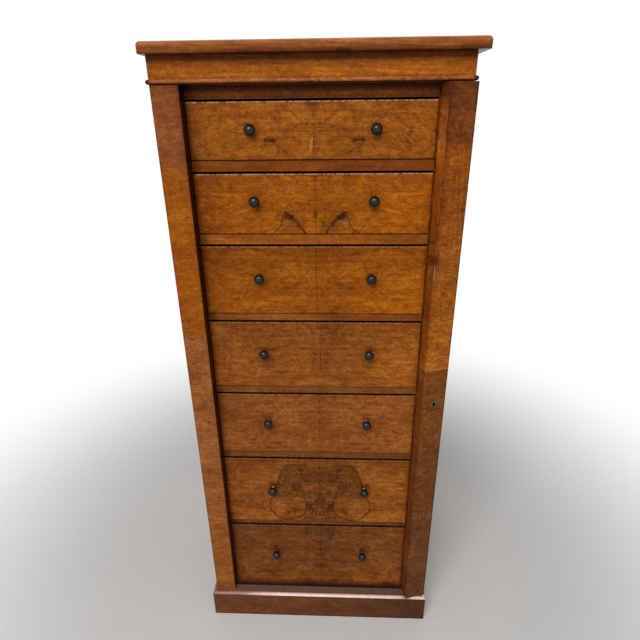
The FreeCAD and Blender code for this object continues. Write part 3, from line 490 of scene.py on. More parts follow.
def burr_6(g, wood, out, warp):
    """A large burr: a gold lobe on each side, dark marbled wood between them and dark outlines."""
    lobe_radius = 0.0415
    lobe = g.reach(out, at=(0.0705, 0.3190), size=(lobe_radius, lobe_radius)) + warp * 0.22
    drop = g.higher(0.001, g.lower(1.0, (0.425 - g.z) / 0.075))
    flank = 0.0745 + g.math("POWER", drop, 0.6) * 0.0255 - out + warp * 0.008
    over_roof = g.z - 0.4335 + g.fall(out, 0.0, 0.035) * 0.007 + warp * 0.010
    upper = g.rise(g.z, 0.335, 0.347)
    column = g.fall(out, 0.034, 0.044)
    crown = g.fall(over_roof, -0.0015, 0.0015)
    dark_part = g.rise(flank, -0.0005, 0.0010) * g.higher(upper, column) * crown
    gold_part = g.fall(lobe, 0.97, 1.0)
    both = g.higher(dark_part, gold_part)

    wood.shade(dark_part * (1 - gold_part * g.fall(g.z, 0.325, 0.350)) * 0.75, (0.64, 0.66, 0.95))
    turn = g.reach(out, at=(0.048, 0.376), size=(0.030, 0.034)) + warp * 0.9
    rings = g.math("SINE", turn * 34)
    wood.shade(dark_part * g.rise(rings, 0.1, 0.9) * 0.35, (1.5, 1.5, 1.5))
    wood.shade(dark_part * g.fall(rings, -0.95, -0.3) * 0.45, (0.6, 0.55, 0.6))
    marble = g.noise(out * 95, g.z * 60, 6.0, detail=3.0, roughness=0.6, distortion=2.5)
    wood.shade(both * g.fall(marble, 0.36, 0.52) * 0.65, (0.45, 0.40, 0.50))
    wood.shade(both * g.rise(marble, 0.55, 0.68) * 0.6, (1.45, 1.45, 1.6))
    vein = g.noise(out * 55 + 3, g.z * 45, 2.0, detail=2.0, distortion=3.0)
    veins = g.near(vein - 0.5, 0.004, 0.022)
    wood.shade(dark_part * veins * 0.55, (0.42, 0.36, 0.40))
    wood.shade(gold_part * veins * 0.25, (0.6, 0.5, 0.5))
    for u, z, wide, tall, share in BURR_EYES:
        eye = g.blot(out, at=(u, z), size=(wide, tall), ragged=warp * 1.4, soft=(0.35, 1.2))
        wood.shade(eye * share, (0.42, 0.43, 0.58))
    for u, z, wide, tall, share in BURR_GLOWS:
        glow = g.blot(out, at=(u, z), size=(wide, tall), ragged=warp * 1.4, soft=(0.3, 1.2))
        wood.shade(glow * share, (1.5, 1.45, 1.2))

    lobe_line = g.near((lobe - 1) * lobe_radius, 0.0006, 0.0026) * g.fall(g.z, 0.340, 0.350)
    flank_line = g.near(flank, 0.0006, 0.0026) * upper * g.fall(g.z, 0.424, 0.428)
    wood.shade(g.higher(lobe_line, flank_line) * 0.75, DEEP)
    roof_line = g.near(over_roof, 0.0004, 0.0022) * g.fall(out, 0.072, 0.078)
    wood.shade(roof_line * 0.5, DEEP)
    horn = g.blot(out, at=(0.0775, 0.4275), size=(0.0095, 0.0022), soft=(0.7, 1.2), slant=-0.75)
    wood.shade(horn * 0.6, DEEP)
    # Painted light brightens the lower outer corners
    wood.shade(g.fall(g.z, 0.262, 0.325) * g.rise(out, 0.080, 0.120) * 0.6, (1.5, 1.5, 1.6))


def dome_7(g, wood, out, warp):
    """A dark outlined patch that hangs from the upper edge, and a blotch under the middle."""
    dome = g.reach(out, at=(0.0, 0.2510), size=(0.0345, 0.0445)) + warp * 0.30
    wood.shade(g.fall(dome, 0.92, 1.0) * 0.55, (0.66, 0.82, 0.9))
    wood.shade(g.near((dome - 0.97) * 0.04, 0.0005, 0.0030) * 0.55, DEEP)
    band = g.fall(out, 0.006, 0.018) * g.fall(g.z, 0.205, 0.220)
    wood.shade(band * 0.30, (0.75, 0.55, 0.8))
    blotch = g.blot(
        out, at=(0.004, 0.130), size=(0.016, 0.010), ragged=warp * 1.2, soft=(0.4, 1.2)
    )
    wood.shade(blotch * 0.50, (0.6, 0.4, 0.5))
    dot = g.blot(out, at=(0.014, 0.137), size=(0.003, 0.004), ragged=warp, soft=(0.5, 1.3))
    wood.shade(dot * 0.6, (0.4, 0.3, 0.3))
    # Painted light brightens the front towards its lower edge
    wood.shade(g.fall(g.z, 0.083, 0.125) * 0.6, (1.5, 1.55, 1.7))


# Each front: its figure, its middle colour, where its joint is, how much darker it gets towards
# its upper edge and its left end, how much painted light brightens it to the right, and how pale
# its upper edge is from wear and a painted highlight
Front = namedtuple("Front", "figure middle joint darker_above darker_left brighter_right worn")
FRONTS = {
    1: Front(
        spots_1, (0.233, 0.0635, 0.0028), joint=0.0030,
        darker_above=0.00, darker_left=0.55, brighter_right=0.00, worn=0.62,
    ),
    2: Front(
        arches_2, (0.244, 0.0600, 0.0012), joint=0.0040,
        darker_above=0.10, darker_left=0.35, brighter_right=0.75, worn=0.58,
    ),
    3: Front(
        smudges_3, (0.258, 0.0640, 0.0010), joint=0.0040,
        darker_above=0.48, darker_left=0.35, brighter_right=0.75, worn=0.30,
    ),
    4: Front(
        burr_4, (0.230, 0.0620, 0.0055), joint=0.0100,
        darker_above=0.25, darker_left=0.00, brighter_right=0.80, worn=0.25,
    ),
    5: Front(
        mark_5, (0.232, 0.0645, 0.0078), joint=0.0068,
        darker_above=0.12, darker_left=0.15, brighter_right=0.65, worn=0.25,
    ),
    6: Front(
        burr_6, (0.262, 0.0745, 0.0068), joint=0.0050,
        darker_above=0.40, darker_left=0.00, brighter_right=0.65, worn=0.20,
    ),
    7: Front(
        dome_7, (0.190, 0.0530, 0.0072), joint=0.0050,
        darker_above=0.30, darker_left=0.00, brighter_right=0.70, worn=0.12,
    ),
}
# Drawers whose fronts get a painted reflection of each knob just above it
KNOB_REFLECTION_DRAWERS = (5, 6, 7)


def knob_marks(g, wood, warp, n):
    """A darker patch round each knob, of grime and painted shadow, and on the lower drawers a
    redder painted reflection of the knob just above it.
    """
    low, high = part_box(f"drawer_{n}_knobs")
    radius = (high.z - low.z) / 2
    for x in (low.x + radius, high.x - radius):
        around = (x, low.z + radius * 0.7)
        # Grime and painted shadow of the knob, in a patch round it
        grime_and_shadow = g.blot(g.x, at=around, size=(0.017, 0.021), ragged=warp * 0.8, soft=(0.3, 1.2))
        wood.shade(grime_and_shadow * 0.35, (0.55, 0.45, 0.5))
        if n in KNOB_REFLECTION_DRAWERS:
            # Painted reflection of the knob in the polish: a redder patch just above it
            above = (x, low.z + radius + 0.011)
            glow = g.blot(
                g.x, at=above, size=(0.0085, 0.0080), ragged=warp * 0.5, soft=(0.6, 1.2)
            )
            wood.shade(glow * 0.75, (0.85, 0.50, 0.22))


def drawer_front_material(n):
    """Book-matched veneer: both halves repeat the same figure from the joint outwards."""
    front = FRONTS[n]
    low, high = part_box(f"drawer_{n}_front")
    g = Graph(f"drawer_{n}_veneer")
    out = abs(g.x - front.joint)
    loose = out + (g.noise(g.x * 7 + n, 0.0, g.z * 10) - 0.5) * 0.09
    wood = Wood(g, loose, g.z, g.y, front.middle, seed=n, cloud=0.8, grain=1.5, fine=0.85)
    warp = g.noise(out * 75, g.z * 75, n, detail=3.0) - 0.5
    level = (g.z - low.z) / (high.z - low.z)
    wood.shade(g.rise(level, 0.2, 0.95) * front.darker_above, (0.45, 0.42, 0.42))
    front.figure(g, wood, out, warp)

    ragged = g.noise(g.x * 60, 0.0, g.z * 60 + n, detail=3.0)
    sway = ragged - 0.5
    joint_line = g.fall(out, 0.0004, 0.0014) * (0.25 + g.rise(ragged, 0.42, 0.60) * 0.5)
    wood.shade(joint_line, (0.45, 0.3, 0.3))
    right_half = g.rise(g.x - front.joint, -0.0004, 0.0004) * g.fall(g.x, 0.04, 0.10)
    wood.shade(right_half * 0.4, (0.8, 0.78, 0.78))
    knob_marks(g, wood, warp, n)

    left, lower, upper = g.x - low.x, g.z - low.z, high.z - g.z
    # Darker within about 9 mm of the ends and the upper edge
    from_edge = g.lower(edge_distance(g, g.x, low.x, high.x), upper) + sway * 0.012
    wood.shade(g.fall(from_edge, 0.0, 0.009) * 0.4, (0.6, 0.5, 0.5))
    # Painted shadow of the gap under the front, along its lower edge
    wood.shade(g.fall(lower + sway * 0.004, 0.0, 0.002) * 0.25, (0.6, 0.5, 0.5))
    wood.shade(g.fall(left + sway * 0.02, 0.0, 0.055) * front.darker_left, (0.5, 0.42, 0.45))
    # Painted light: the front is made brighter towards its right end
    wood.shade(g.rise(g.x, 0.03, 0.20) * front.brighter_right, (1.40, 1.45, 1.3))
    # The pale, broken line along the upper edge is wear and a painted highlight of the lit arris
    chips = g.noise(g.x * 170, 0.0, n, detail=2.0) * 0.6 + ragged * 0.4
    edge_wear_and_glint = g.fall(upper, 0.0008, 0.0030) * g.rise(chips, 0.42, 0.54)
    wood.stain(edge_wear_and_glint * front.worn, (0.50, 0.29, 0.16))
    # Painted shade in a narrow strip at the left end, beside the pilaster
    wood.shade(g.fall(left + sway * 0.004, 0.002, 0.008) * 0.5, (0.55, 0.42, 0.5))
    # Painted shade on the top, ends and back of the front, so the gaps round it read dark
    behind = g.rise(g.y - low.y, 0.0003, 0.0014)
    wood.shade(behind, (0.10, 0.09, 0.08))
    return wood.polished()


# Pieces with softened edges that stand for sharp ones
SAME_POINT = 1e-6
ON_PLANE = 2e-5
FLAT_ANGLE = math.radians(0.5)
SHARP_ANGLE = math.radians(35)
FRONT_ROUNDING = 0.0009
BOARD_ROUNDING = 0.0008
STILE_ROUNDING = 0.0012
ROUNDING_STEPS = 3


def clean_copy(name, turn=None):
    """A CAD node's mesh with its triangles joined into whole faces."""
    mesh = bmesh.new()
    mesh.from_mesh(nodes[name].data)
    if turn is not None:
        mesh.transform(turn)
    bmesh.ops.remove_doubles(mesh, verts=mesh.verts, dist=SAME_POINT)
    bmesh.ops.dissolve_limit(mesh, angle_limit=FLAT_ANGLE, verts=mesh.verts, edges=mesh.edges)
    return mesh


def on_planes(vertex, low, high):
    """Which of the box's planes a vertex lies on."""
    found = set()
    for axis in range(3):
        for side, plane in (("low", low), ("high", high)):
            if abs(vertex.co[axis] - plane[axis]) < ON_PLANE:
                found.add((axis, side))
    return found


def soften(name, radius, turn=None):
    """Replace a CAD node by a copy whose outermost edges are rounded."""
    mesh = clean_copy(name, turn)
    corners = [v.co for v in mesh.verts]
    low = Vector([min(c[i] for c in corners) for i in range(3)])
    high = Vector([max(c[i] for c in corners) for i in range(3)])
    edges = []
    for edge in mesh.edges:
        start, end = edge.verts
        if len(on_planes(start, low, high) & on_planes(end, low, high)) == 2:
            edges.append(edge)
    bmesh.ops.bevel(
        mesh, geom=edges, offset=radius, segments=ROUNDING_STEPS,
        profile=0.5, affect="EDGES", clamp_overlap=True,
    )
    return place_piece(name, mesh, turn)


def place_piece(name, mesh, turn=None):
    """Put a changed copy of a CAD node in the scene in the node's place."""
    if turn is not None:
        mesh.transform(turn.inverted())
    for face in mesh.faces:
        face.smooth = True
    for edge in mesh.edges:
        if len(edge.link_faces) == 2:
            edge.smooth = edge.calc_face_angle(0) < SHARP_ANGLE
    data = bpy.data.meshes.new(f"{name}_piece")
    mesh.to_mesh(data)
    mesh.free()
    piece = bpy.data.objects.new(f"{name}_piece", data)
    bpy.context.scene.collection.objects.link(piece)
    weigh = piece.modifiers.new("even", "WEIGHTED_NORMAL")
    weigh.keep_sharp = True
    weigh.weight = 100
    shaded = piece.evaluated_get(bpy.context.evaluated_depsgraph_get())
    piece.data = bpy.data.meshes.new_from_object(shaded)
    piece.modifiers.clear()
    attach(piece, nodes[name]["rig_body"])
    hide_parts(name)
    return piece


def show(name):
    """The piece that stands for a CAD node, or else the node itself."""
    return pieces.get(name, nodes[name])


def dress(name, material):
    """Give the shown piece its material."""
    materials = show(name).data.materials
    materials.clear()
    materials.append(material)


make_camera()

pieces = {}
for n in DRAWERS:
    pieces[f"drawer_{n}_front"] = soften(f"drawer_{n}_front", FRONT_ROUNDING)
    dress(f"drawer_{n}_front", drawer_front_material(n))
for name in ("left_pilaster", "frieze_rail"):
    pieces[name] = soften(name, BOARD_ROUNDING)
pieces["locking_stile"] = soften("locking_stile", STILE_ROUNDING, turn=STILE_TURN)

# Woods of the other pieces
PILASTER_KNOTS = (
    (-0.209, 0.972),
    (-0.229, 0.432),
    (-0.213, 0.361),
    (-0.228, 0.745),
    (-0.214, 0.560),
)


def pilaster_material():
    """Golden in the upper middle, browner above and below it, with painted shadow of the moulding
    at its top and painted shade on its inner side.
    """
    low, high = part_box("left_pilaster")
    g = Graph("pilaster_veneer")
    middle = zoned(
        g, g.z, (0.268, 0.078, 0.0075),
        (0.27, 0.05, (0.258, 0.080, 0.015)),
        (0.753, 0.008, (0.245, 0.060, 0.0014)),
        (1.050, 0.020, (0.195, 0.054, 0.011)),
    )
    wood = wood_along(g, "x", middle, 11, cloud=0.9, swirl=0.6, fine=0.7)
    for place in PILASTER_KNOTS:
        ragged = wood.layer(0.006, 0.006) * 1.5
        knot = g.blot(g.x, at=place, size=(0.0042, 0.0030), ragged=ragged, soft=(0.5, 1.3))
        wood.shade(knot * 0.7, (0.35, 0.3, 0.35))
    # Painted shadow of the moulding along the top
    wood.shade(g.rise(g.z, high.z - 0.020, high.z - 0.004) * 0.55, (0.35, 0.3, 0.35))
    corner = g.rise(g.z, 0.95, 1.08) * g.rise(g.x, high.x - 0.022, high.x)
    wood.shade(corner * 0.4, (0.5, 0.45, 0.5))
    edges = edge_distance(g, g.x, low.x, high.x) + wood.layer(0.02, 0.02, 2.0) * 0.008
    wood.shade(g.fall(edges, 0.0, 0.004) * 0.4, (0.5, 0.4, 0.4))
    # Painted shade on the inner side, in the recess beside the drawers
    inner_side = g.rise(g.x, high.x - 0.0006, high.x - 0.0001)
    wood.shade(inner_side, (0.20, 0.12, 0.08))
    return wood.polished()


# Places on the locking stile: across it from its hinge, and above the floor
STILE_INNER_EDGE = -0.0512
STILE_OUTER_EDGE = -0.0036
STILE_KEYHOLE = (-0.0265, 0.612)
STILE_KNOT = (-0.028, 1.113)
STILE_LOWER_JOINT = 0.6885
STILE_UPPER_JOINT = 0.9235


def stile_material():
    """Three lengths of veneer, darker at the top and below the keyhole."""
    g = Graph("stile_veneer")
    across = (g.x - HINGE_X) * math.cos(AJAR) + (g.y - HINGE_Y) * math.sin(AJAR)
    deep = (g.y - HINGE_Y) * math.cos(AJAR) - (g.x - HINGE_X) * math.sin(AJAR)
    middle = zoned(
        g, g.z, (0.110, 0.030, 0.0055),
        (0.105, 0.02, (0.140, 0.040, 0.006)),
        (0.540, 0.05, (0.180, 0.050, 0.005)),
        (STILE_LOWER_JOINT, 0.0008, (0.325, 0.091, 0.0055)),
        (0.800, 0.030, (0.275, 0.072, 0.004)),
        (0.880, 0.03, (0.240, 0.062, 0.004)),
        (STILE_UPPER_JOINT, 0.0008, (0.222, 0.055, 0.003)),
        (1.085, 0.012, (0.150, 0.036, 0.004)),
        (1.135, 0.010, (0.105, 0.026, 0.003)),
    )
    wood = Wood(g, across, g.z, deep, middle, 12, cloud=0.8, swirl=0.8)
    for z in (STILE_LOWER_JOINT, STILE_UPPER_JOINT):
        wood.stain(g.near(g.z - z, 0.0003, 0.0009) * 0.35, (0.42, 0.22, 0.10))

    knot = g.reach(across, at=STILE_KNOT, size=(0.007, 0.009))
    ring = abs(knot - 1.7) + wood.layer(0.01, 0.01)
    wood.shade(g.fall(ring, 0.0, 0.3) * 0.5, (0.5, 0.4, 0.4))
    wood.shade(g.fall(knot + wood.layer(0.006, 0.006) * 1.5, 0.3, 1.0) * 0.7, (0.4, 0.3, 0.3))

    streaks = g.noise(across * 190, g.z * 13, 5.0, detail=2.0)
    above = g.rise(g.z, STILE_UPPER_JOINT, STILE_UPPER_JOINT + 0.0015) * g.fall(g.z, 1.07, 1.10)
    beneath = g.fall(g.z, STILE_LOWER_JOINT - 0.0005, STILE_LOWER_JOINT + 0.0005)
    streaked = g.higher(above, beneath * 0.7)
    wood.shade(streaked * g.rise(streaks, 0.50, 0.66) * 0.5, (1.35, 1.4, 1.5))
    wood.shade(streaked * g.fall(streaks, 0.34, 0.48) * 0.4, (0.65, 0.55, 0.6))

    inner = across - STILE_INNER_EDGE
    outer = STILE_OUTER_EDGE - across
    ragged = wood.layer(0.02, 0.02, 3.0)
    edge_knot = g.blot(
        inner, at=(0.003, 0.902), size=(0.006, 0.011), ragged=ragged, soft=(0.4, 1.1)
    )
    wood.shade(edge_knot * 0.7, (0.3, 0.25, 0.25))
    crack = g.near(inner - 0.001 + ragged * 0.002, 0.0004, 0.0012)
    wood.stain(crack * g.near(g.z - 0.880, 0.008, 0.016) * 0.6, (0.55, 0.38, 0.25))
    wood.shade(g.fall(inner, 0.0, 0.016) * g.rise(g.z, 0.66, 0.76) * 0.55, (0.55, 0.42, 0.42))
    arris = g.near(inner - 0.0020 + ragged * 0.002, 0.0003, 0.0014) * g.rise(g.z, 0.84, 0.90)
    wood.shade(arris * 0.5, (0.4, 0.3, 0.3))
    broken = 0.35 + g.rise(g.noise(g.z * 30, 0.0, 0.0, detail=2.0), 0.42, 0.58) * 0.6
    wood.shade(g.fall(outer + ragged * 0.005, 0.0004, 0.0042) * broken, (0.16, 0.12, 0.12))
    # Painted light on the inner side face, brighter upwards and a little darker low down
    side = zoned(
        g, g.z, (1.0, 1.0, 1.2),
        (0.50, 0.06, (0.85, 0.85, 0.95)),
        (0.88, 0.06, (1.15, 1.2, 1.5)),
        (0.99, 0.05, (1.9, 2.1, 3.2)),
        (1.075, 0.02, (2.9, 3.4, 5.5)),
        (1.148, 0.01, (1.2, 1.4, 3.0)),
    )
    wood.shade(g.fall(inner, -0.0002, 0.0008), side)

    hole = g.reach(across, at=STILE_KEYHOLE, size=(0.0075, 0.0095))
    # Painted shade inside the keyhole's bore
    wood.shade(g.fall(hole, 0.95, 1.05) * g.rise(deep + 0.0246, 0.0, 0.0004), (0.05, 0.05, 0.05))
    wood.shade(g.fall(hole, 1.0, 1.9) * 0.45, (0.55, 0.55, 0.75))
    return wood.polished()


def front_stile_material():
    """Dark, and nearly black at the left: painted shade for stiles that stand in shadow behind the
    pilaster and the locking stile.
    """
    g = Graph("front_stile_wood")
    middle = zoned(g, g.x, (0.030, 0.007, 0.0006), (0.0, 0.1, (0.120, 0.024, 0.0008)))
    return wood_along(g, "z", middle, 20).bare()


# The rail under each drawer, by the drawer's number
RAIL_COLOURS = {
    1: (0.163, 0.038, 0.0025),
    2: (0.243, 0.064, 0.0045),
    3: (0.190, 0.050, 0.006),
    4: (0.178, 0.052, 0.009),
    5: (0.156, 0.047, 0.008),
    6: (0.146, 0.044, 0.0085),
}


def rail_material():
    """The rails, each a little different, with grime at the left end, and grime and painted shadow
    of the drawers along the top.
    """
    g = Graph("rail_wood")
    zones = []
    for n in (5, 4, 3, 2, 1):
        low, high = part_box(f"drawer_{n + 1}_front")
        zones.append(((low.z + high.z) / 2, 0.01, RAIL_COLOURS[n]))
    middle = zoned(g, g.z, RAIL_COLOURS[6], *zones)
    wood = wood_along(g, "x", middle, 19, cloud=0.8, swirl=0.5, grain=1.6, fine=0.6)
    left = g.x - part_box("left_pilaster")[1].x + wood.layer(0.02, 0.02, 2.0) * 0.01
    wood.shade(g.fall(left, 0.006, 0.020) * 0.6, (0.35, 0.35, 0.45))
    # Just below each drawer: grime and painted shadow of the drawer front
    for n in DRAWERS:
        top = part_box(f"drawer_{n}_front")[0].z - 0.001
        wood.shade(g.near(g.z - top, 0.0008, 0.0026) * 0.75, (0.3, 0.26, 0.26))
    return wood.polished()


def plinth_material():
    """Darker to the right, with a painted highlight along the bevel and dust on the ledge."""
    g = Graph("plinth_wood")
    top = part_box("plinth_boards")[1].z
    wood = wood_along(g, "x", (0.150, 0.042, 0.0075), 16, cloud=0.9, swirl=0.6, fine=0.6)
    wood.shade(g.rise(g.x, -0.02, 0.22) * 0.62, (0.35, 0.32, 0.4))
    dust = g.noise(g.x * 90, g.y * 90, 0.0, detail=3.0, roughness=0.6)
    ledge = g.rise(g.z, top - 0.0008, top - 0.0002)
    wood.stain(ledge * (0.35 + g.rise(dust, 0.25, 0.55) * 0.45), DUST)

    # Painted highlight along the bevel, brightest in the middle of the front
    bevel = g.near(g.z - 0.0698, 0.0008, 0.0030)
    front = g.fall(g.y, -0.188, -0.182)
    middle = g.rise(g.x, -0.21, -0.09) * (1 - g.near(g.x - 0.208, 0.006, 0.014) * 0.6) * front
    bevel_highlight = 0.14 + middle * 0.80 + (dust - 0.5) * 0.5
    wood.stain(bevel * bevel_highlight, (0.84, 0.61, 0.52))
    foot = g.fall(g.z + wood.layer(0.01, 0.01) * 0.006, 0.001, 0.005)
    wood.shade(foot * 0.6, (0.3, 0.3, 0.4))
    return wood.polished(roughness=0.34, calm=bevel * (0.5 + middle * 0.5), shine=0.12)


def base_material():
    """Nearly black at its front edge, partly painted shade, and brown where it shows just under
    the lowest drawer.
    """
    g = Graph("base_wood")
    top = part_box("base_board")[1].z
    wood = wood_along(g, "x", (0.040, 0.012, 0.004), 17)
    # Painted shade on the face below its top edge
    wood.shade(g.fall(g.z, top - 0.0026, top - 0.0006) * 0.5, (0.3, 0.3, 0.3))
    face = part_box("drawer_7_front")[0].y
    wood.shade(g.rise(g.y, face - 0.010, face), (3.5, 3.2, 2.6))
    wood.shade(g.rise(g.y, face + 0.001, face + 0.002), (1.1, 1.4, 1.9))
    return wood.bare()


def slab_material():
    """Streaks that run slightly down to the right, a painted highlight along the upper edge and
    painted shade along the lower one.
    """
    g = Graph("slab_wood")
    low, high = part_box("top_slab")
    tilted = g.z + g.x * 0.03
    middle = (0.226, 0.062, 0.0078)
    wood = Wood(g, g.x, tilted, g.y, middle, 14, cloud=0.8, swirl=0.4, grain=2.2, fine=0.5)
    streaks = g.noise(g.x * 14 + g.z * 90, g.z * 260 + g.x * 8, g.y * 30, detail=2.0)
    wood.shade(g.rise(streaks, 0.52, 0.68) * 0.5, (1.6, 1.7, 2.0))
    # Painted shade along the lower edge and, in the middle, over the lower half of the front
    from_edge = g.z - low.z + wood.layer(0.06, 0.02, 2.0) * 0.008
    wood.shade(g.fall(from_edge, 0.002, 0.010) * 0.7, (0.32, 0.26, 0.3))
    wood.shade(g.fall(g.z, 1.2190, 1.2240) * g.rise(g.x, -0.17, -0.11) * 0.35, (0.6, 0.5, 0.6))
    ragged = wood.layer(0.01, 0.01) * 0.8
    dent = g.blot(
        g.x, at=(0.050, low.z + 0.001), size=(0.014, 0.0035), ragged=ragged, soft=(0.5, 1.2)
    )
    wood.shade(dent * 0.7, (0.3, 0.25, 0.25))
    # Painted highlight along the upper edge
    edge = g.rise(g.z, high.z - 0.0032, high.z - 0.0010) * g.fall(g.y - low.y, 0.003, 0.007)
    wood.stain(edge * 0.35, (0.50, 0.24, 0.12))
    return wood.polished(roughness=0.3)


def frieze_material():
    """Golden, with painted shadow of the slab along its top."""
    g = Graph("frieze_veneer")
    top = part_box("frieze_rail")[1].z
    middle = (0.258, 0.067, 0.0022)
    wood = wood_along(g, "x", middle, 13, cloud=0.8, swirl=0.6, grain=1.8, fine=0.7)
    # Painted shadow of the slab
    wood.shade(g.rise(g.z, top - 0.023, top - 0.008) * 0.78, (0.40, 0.34, 0.36))
    wood.shade(g.fall(g.z, 1.179, 1.185) * 0.5, (0.72, 0.70, 0.72))
    wood.shade(g.rise(g.x, -0.05, 0.15) * g.fall(g.z, 1.177, 1.183) * 0.5, (0.72, 0.68, 0.70))
    golden = g.rise(g.x, -0.08, 0.05) * g.near(g.z - 1.188, 0.003, 0.008)
    wood.shade(golden * 0.25, (1.45, 1.5, 1.6))
    return wood.polished()


def moulding_material():
    """Painted light on its upper side, painted shade beneath it, and nearly black at its ends."""
    g = Graph("moulding_wood")
    low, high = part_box("astragal_moulding")
    wood = wood_along(g, "x", (0.235, 0.064, 0.010), 15, cloud=0.6, swirl=0.6, grain=1.5)
    swaying = g.z + wood.layer(0.05, 0.05, 2.0) * 0.002
    # Painted light on the upper side
    wood.shade(g.rise(swaying, high.z - 0.0026, high.z - 0.0012) * 0.8, (1.35, 1.5, 3.0))
    # Painted shade beneath
    wood.shade(g.fall(swaying, low.z + 0.0010, low.z + 0.0030), (0.12, 0.10, 0.10))
    ends = edge_distance(g, g.x, low.x, high.x)
    wood.shade(g.fall(ends, 0.003, 0.009) * 0.9, (0.08, 0.07, 0.07))
    return wood.polished(roughness=0.3)


def top_rail_material():
    """Dark above, where the moulding shades it, and at its left end."""
    g = Graph("top_rail_wood")
    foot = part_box("top_rail")[0].z
    wood = wood_along(g, "x", (0.295, 0.077, 0.0070), 18, cloud=0.6, swirl=0.6)
    wood.shade(g.fall(g.z, foot + 0.0030, foot + 0.0055), (0.68, 0.68, 0.75))
    wood.shade(g.rise(g.z, foot + 0.0080, foot + 0.0115), (0.55, 0.50, 0.45))
    wood.shade(g.rise(g.z, foot + 0.0100, foot + 0.0168), (0.32, 0.24, 0.20))
    left = g.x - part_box("left_pilaster")[1].x
    wood.shade(g.fall(left, 0.004, 0.030) * 0.6, (0.3, 0.25, 0.25))
    return wood.polished()


def side_material(name, seed):
    """Plain veneer with its grain upright."""
    g = Graph(f"{name}_veneer")
    return Wood(g, g.z, g.y, g.x, WALNUT, seed, cloud=0.9, swirl=0.8, grain=1.8).polished()


def back_material():
    """Three upright boards, dark in their joints and towards the rim."""
    g = Graph("back_wood")
    low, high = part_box("back_boards")
    wood = wood_along(g, "z", OLD_PINE, 23, cloud=0.45, swirl=0.25, grain=2.6, fine=0.5)
    for share in (1 / 3, 2 / 3):
        joint = abs(g.x - low.x - (high.x - low.x) * share)
        wood.shade(g.fall(joint, 0.0004, 0.0016) * 0.8, (0.25, 0.22, 0.20))
        wood.shade(g.fall(joint, 0.0, 0.012) * 0.25, (0.6, 0.55, 0.5))
    rim = g.lower(edge_distance(g, g.x, low.x, high.x), edge_distance(g, g.z, low.z, high.z))
    rim = rim + wood.layer(0.05, 0.05, 2.0) * 0.02
    wood.shade(g.fall(rim, 0.0, 0.030) * 0.45, (0.5, 0.45, 0.4))
    return wood.bare()


def lining_material(name, along, middle, seed, **settings):
    """Bare wood of a piece inside."""
    g = Graph(f"{name}_wood")
    return wood_along(g, along, middle, seed, swirl=0.3, fine=0.4, **settings).bare()


dress("left_pilaster", pilaster_material())
dress("locking_stile", stile_material())
dress("drawer_rails", rail_material())
dress("plinth_boards", plinth_material())
dress("base_board", base_material())
dress("top_slab", slab_material())
dress("frieze_rail", frieze_material())
dress("astragal_moulding", moulding_material())
dress("top_rail", top_rail_material())
dress("front_stiles", front_stile_material())
for name, seed in (("left_case_side", 21), ("right_case_side", 22)):
    dress(name, side_material(name, seed))
dress("back_boards", back_material())
for name, along, seed in (
    ("glue_blocks", "z", 11),
    ("drawer_runners", "y", 14),
    ("dust_boards", "x", 11),
    ("drawer_stops", "x", 12),
):
    dress(name, lining_material(name, along, PINE, seed))
for n in DRAWERS:
    for part, along in (("sides", "y"), ("back", "x"), ("bottom", "x")):
        name = f"drawer_{n}_{part}"
        dress(name, lining_material(name, along, OAK, n, cloud=0.5))


# Knobs and metals
def speckled(name, scale, detail, spread, colours, roughness, uneven, depth, **numbers):
    """One colour with speckles of another, which are also rougher and stand out by the depth."""
    g = Graph(name)
    speck = g.speckle(scale, detail)
    colour = g.tint(g.rise(speck, *spread), *colours)
    return g.finish(colour, roughness + speck * uneven, speck, depth, **numbers)


EBONISED = speckled(
    "ebonised", 150, 3.0, (0.55, 0.75), ((0.006, 0.0055, 0.006), (0.022, 0.018, 0.016)),
    roughness=0.12, uneven=0.14, depth=0.00008, Specular_IOR_Level=0.3,
)
OLD_BRASS = speckled(
    "old_brass", 120, 3.0, (0.35, 0.65), ((0.16, 0.12, 0.07), (0.42, 0.31, 0.15)),
    roughness=0.34, uneven=0.2, depth=0.0001, Metallic=1.0,
)
DARK_BRASS = speckled(
    "dark_brass", 400, 2.0, (0.40, 0.66), ((0.055, 0.034, 0.020), (0.17, 0.115, 0.070)),
    roughness=0.45, uneven=0.2, depth=0.0001, Metallic=0.4, Specular_IOR_Level=0.3,
)
OLD_STEEL = speckled(
    "old_steel", 150, 3.0, (0.45, 0.7), ((0.26, 0.25, 0.24), (0.10, 0.06, 0.04)),
    roughness=0.38, uneven=0.25, depth=0.0001, Metallic=1.0,
)
for n in DRAWERS:
    dress(f"drawer_{n}_knobs", EBONISED)
for name in ("hinge_case_leaves", "hinge_stile_leaves"):
    dress(name, OLD_BRASS)
dress("escutcheon", DARK_BRASS)
for name in ("case_screws", "stile_screws", "lock_case", "lock_bolt", "lock_staple"):
    dress(name, OLD_STEEL)


# Floor, sky and lamp
FLOOR_RADIUS = 6.0
FLOOR_SIDES = 64
FLOOR_DROP = 0.0005
FLOOR_TONE = 0.62
FADE_FROM, FADE_TO = 0.5, 1.5
SKY_LIGHT = 0.42
WHITE = (1, 1, 1, 1)


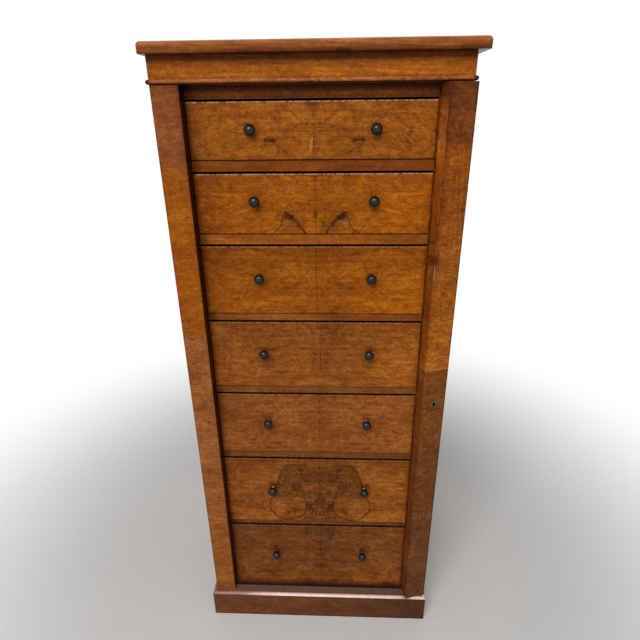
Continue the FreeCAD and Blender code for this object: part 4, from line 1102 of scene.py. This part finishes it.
def make_floor():
    """A pale floor that fades into the white background."""
    mesh = bmesh.new()
    bmesh.ops.create_circle(mesh, cap_ends=True, segments=FLOOR_SIDES, radius=FLOOR_RADIUS)
    data = bpy.data.meshes.new("floor")
    mesh.to_mesh(data)
    mesh.free()
    floor = bpy.data.objects.new("floor", data)
    floor.location.z = -FLOOR_DROP
    bpy.context.scene.collection.objects.link(floor)
    g = Graph("pale_floor")
    speck = g.noise(g.x * 160, g.y * 160, 0.0, detail=2.0) - 0.5
    cloud = g.noise(g.x * 3, g.y * 3, 0.0, detail=3.0) - 0.5
    tone = FLOOR_TONE + speck * 0.10 + cloud * 0.06
    channels = {"Red": tone, "Green": tone * 0.985, "Blue": tone * 0.97}
    colour = g.node("ShaderNodeCombineColor", channels).outputs[0]
    matt = g.node("ShaderNodeBsdfDiffuse", {"Color": colour}).outputs[0]
    white = g.node("ShaderNodeEmission", {"Color": WHITE, "Strength": 1.0}).outputs[0]
    far = g.rise(g.math("SQRT", g.x * g.x + g.y * g.y), FADE_FROM, FADE_TO)
    seen = g.node("ShaderNodeLightPath")
    rays = ("Is Camera Ray", "Is Glossy Ray", "Is Transmission Ray")
    direct = g.higher(*(Wire(g, seen.outputs[ray]) for ray in rays))
    blend = g.node("ShaderNodeMixShader")
    for socket, value in zip(blend.inputs, (far * direct, matt, white)):
        g.feed(socket, value)
    g.feed(g.node("ShaderNodeOutputMaterial").inputs["Surface"], blend.outputs[0])
    data.materials.append(g.material)


def make_sky():
    """White where it is seen directly or in a gloss, and softer as a light."""
    world = bpy.data.worlds.new("sky")
    bpy.context.scene.world = world
    world.use_nodes = True
    tree = world.node_tree
    tree.nodes.clear()
    seen = tree.nodes.new("ShaderNodeLightPath")
    direct = seen.outputs["Is Camera Ray"]
    for ray in ("Is Glossy Ray", "Is Transmission Ray"):
        larger = tree.nodes.new("ShaderNodeMath")
        larger.operation = "MAXIMUM"
        tree.links.new(direct, larger.inputs[0])
        tree.links.new(seen.outputs[ray], larger.inputs[1])
        direct = larger.outputs[0]
    strength = tree.nodes.new("ShaderNodeMapRange")
    strength.inputs["To Min"].default_value = SKY_LIGHT
    strength.inputs["To Max"].default_value = 1.0
    tree.links.new(direct, strength.inputs["Value"])
    background = tree.nodes.new("ShaderNodeBackground")
    background.inputs["Color"].default_value = WHITE
    tree.links.new(strength.outputs[0], background.inputs["Strength"])
    output = tree.nodes.new("ShaderNodeOutputWorld")
    tree.links.new(background.outputs[0], output.inputs["Surface"])


def make_lamp(name, at, towards, size, power):
    """A rectangular lamp that the camera doesn't see."""
    data = bpy.data.lights.new(name, "AREA")
    data.shape = "RECTANGLE"
    data.size, data.size_y = size
    data.energy = power
    lamp = bpy.data.objects.new(name, data)
    bpy.context.scene.collection.objects.link(lamp)
    lamp.location = at
    lamp.rotation_euler = (Vector(towards) - Vector(at)).to_track_quat("-Z", "Y").to_euler()
    lamp.visible_camera = False


make_floor()
make_sky()
make_lamp("main_lamp", at=(-0.45, -2.1, 2.6), towards=(0, -0.1, 0.7), size=(1.75, 0.5), power=63)

bpy.context.scene.view_settings.view_transform = "Standard"
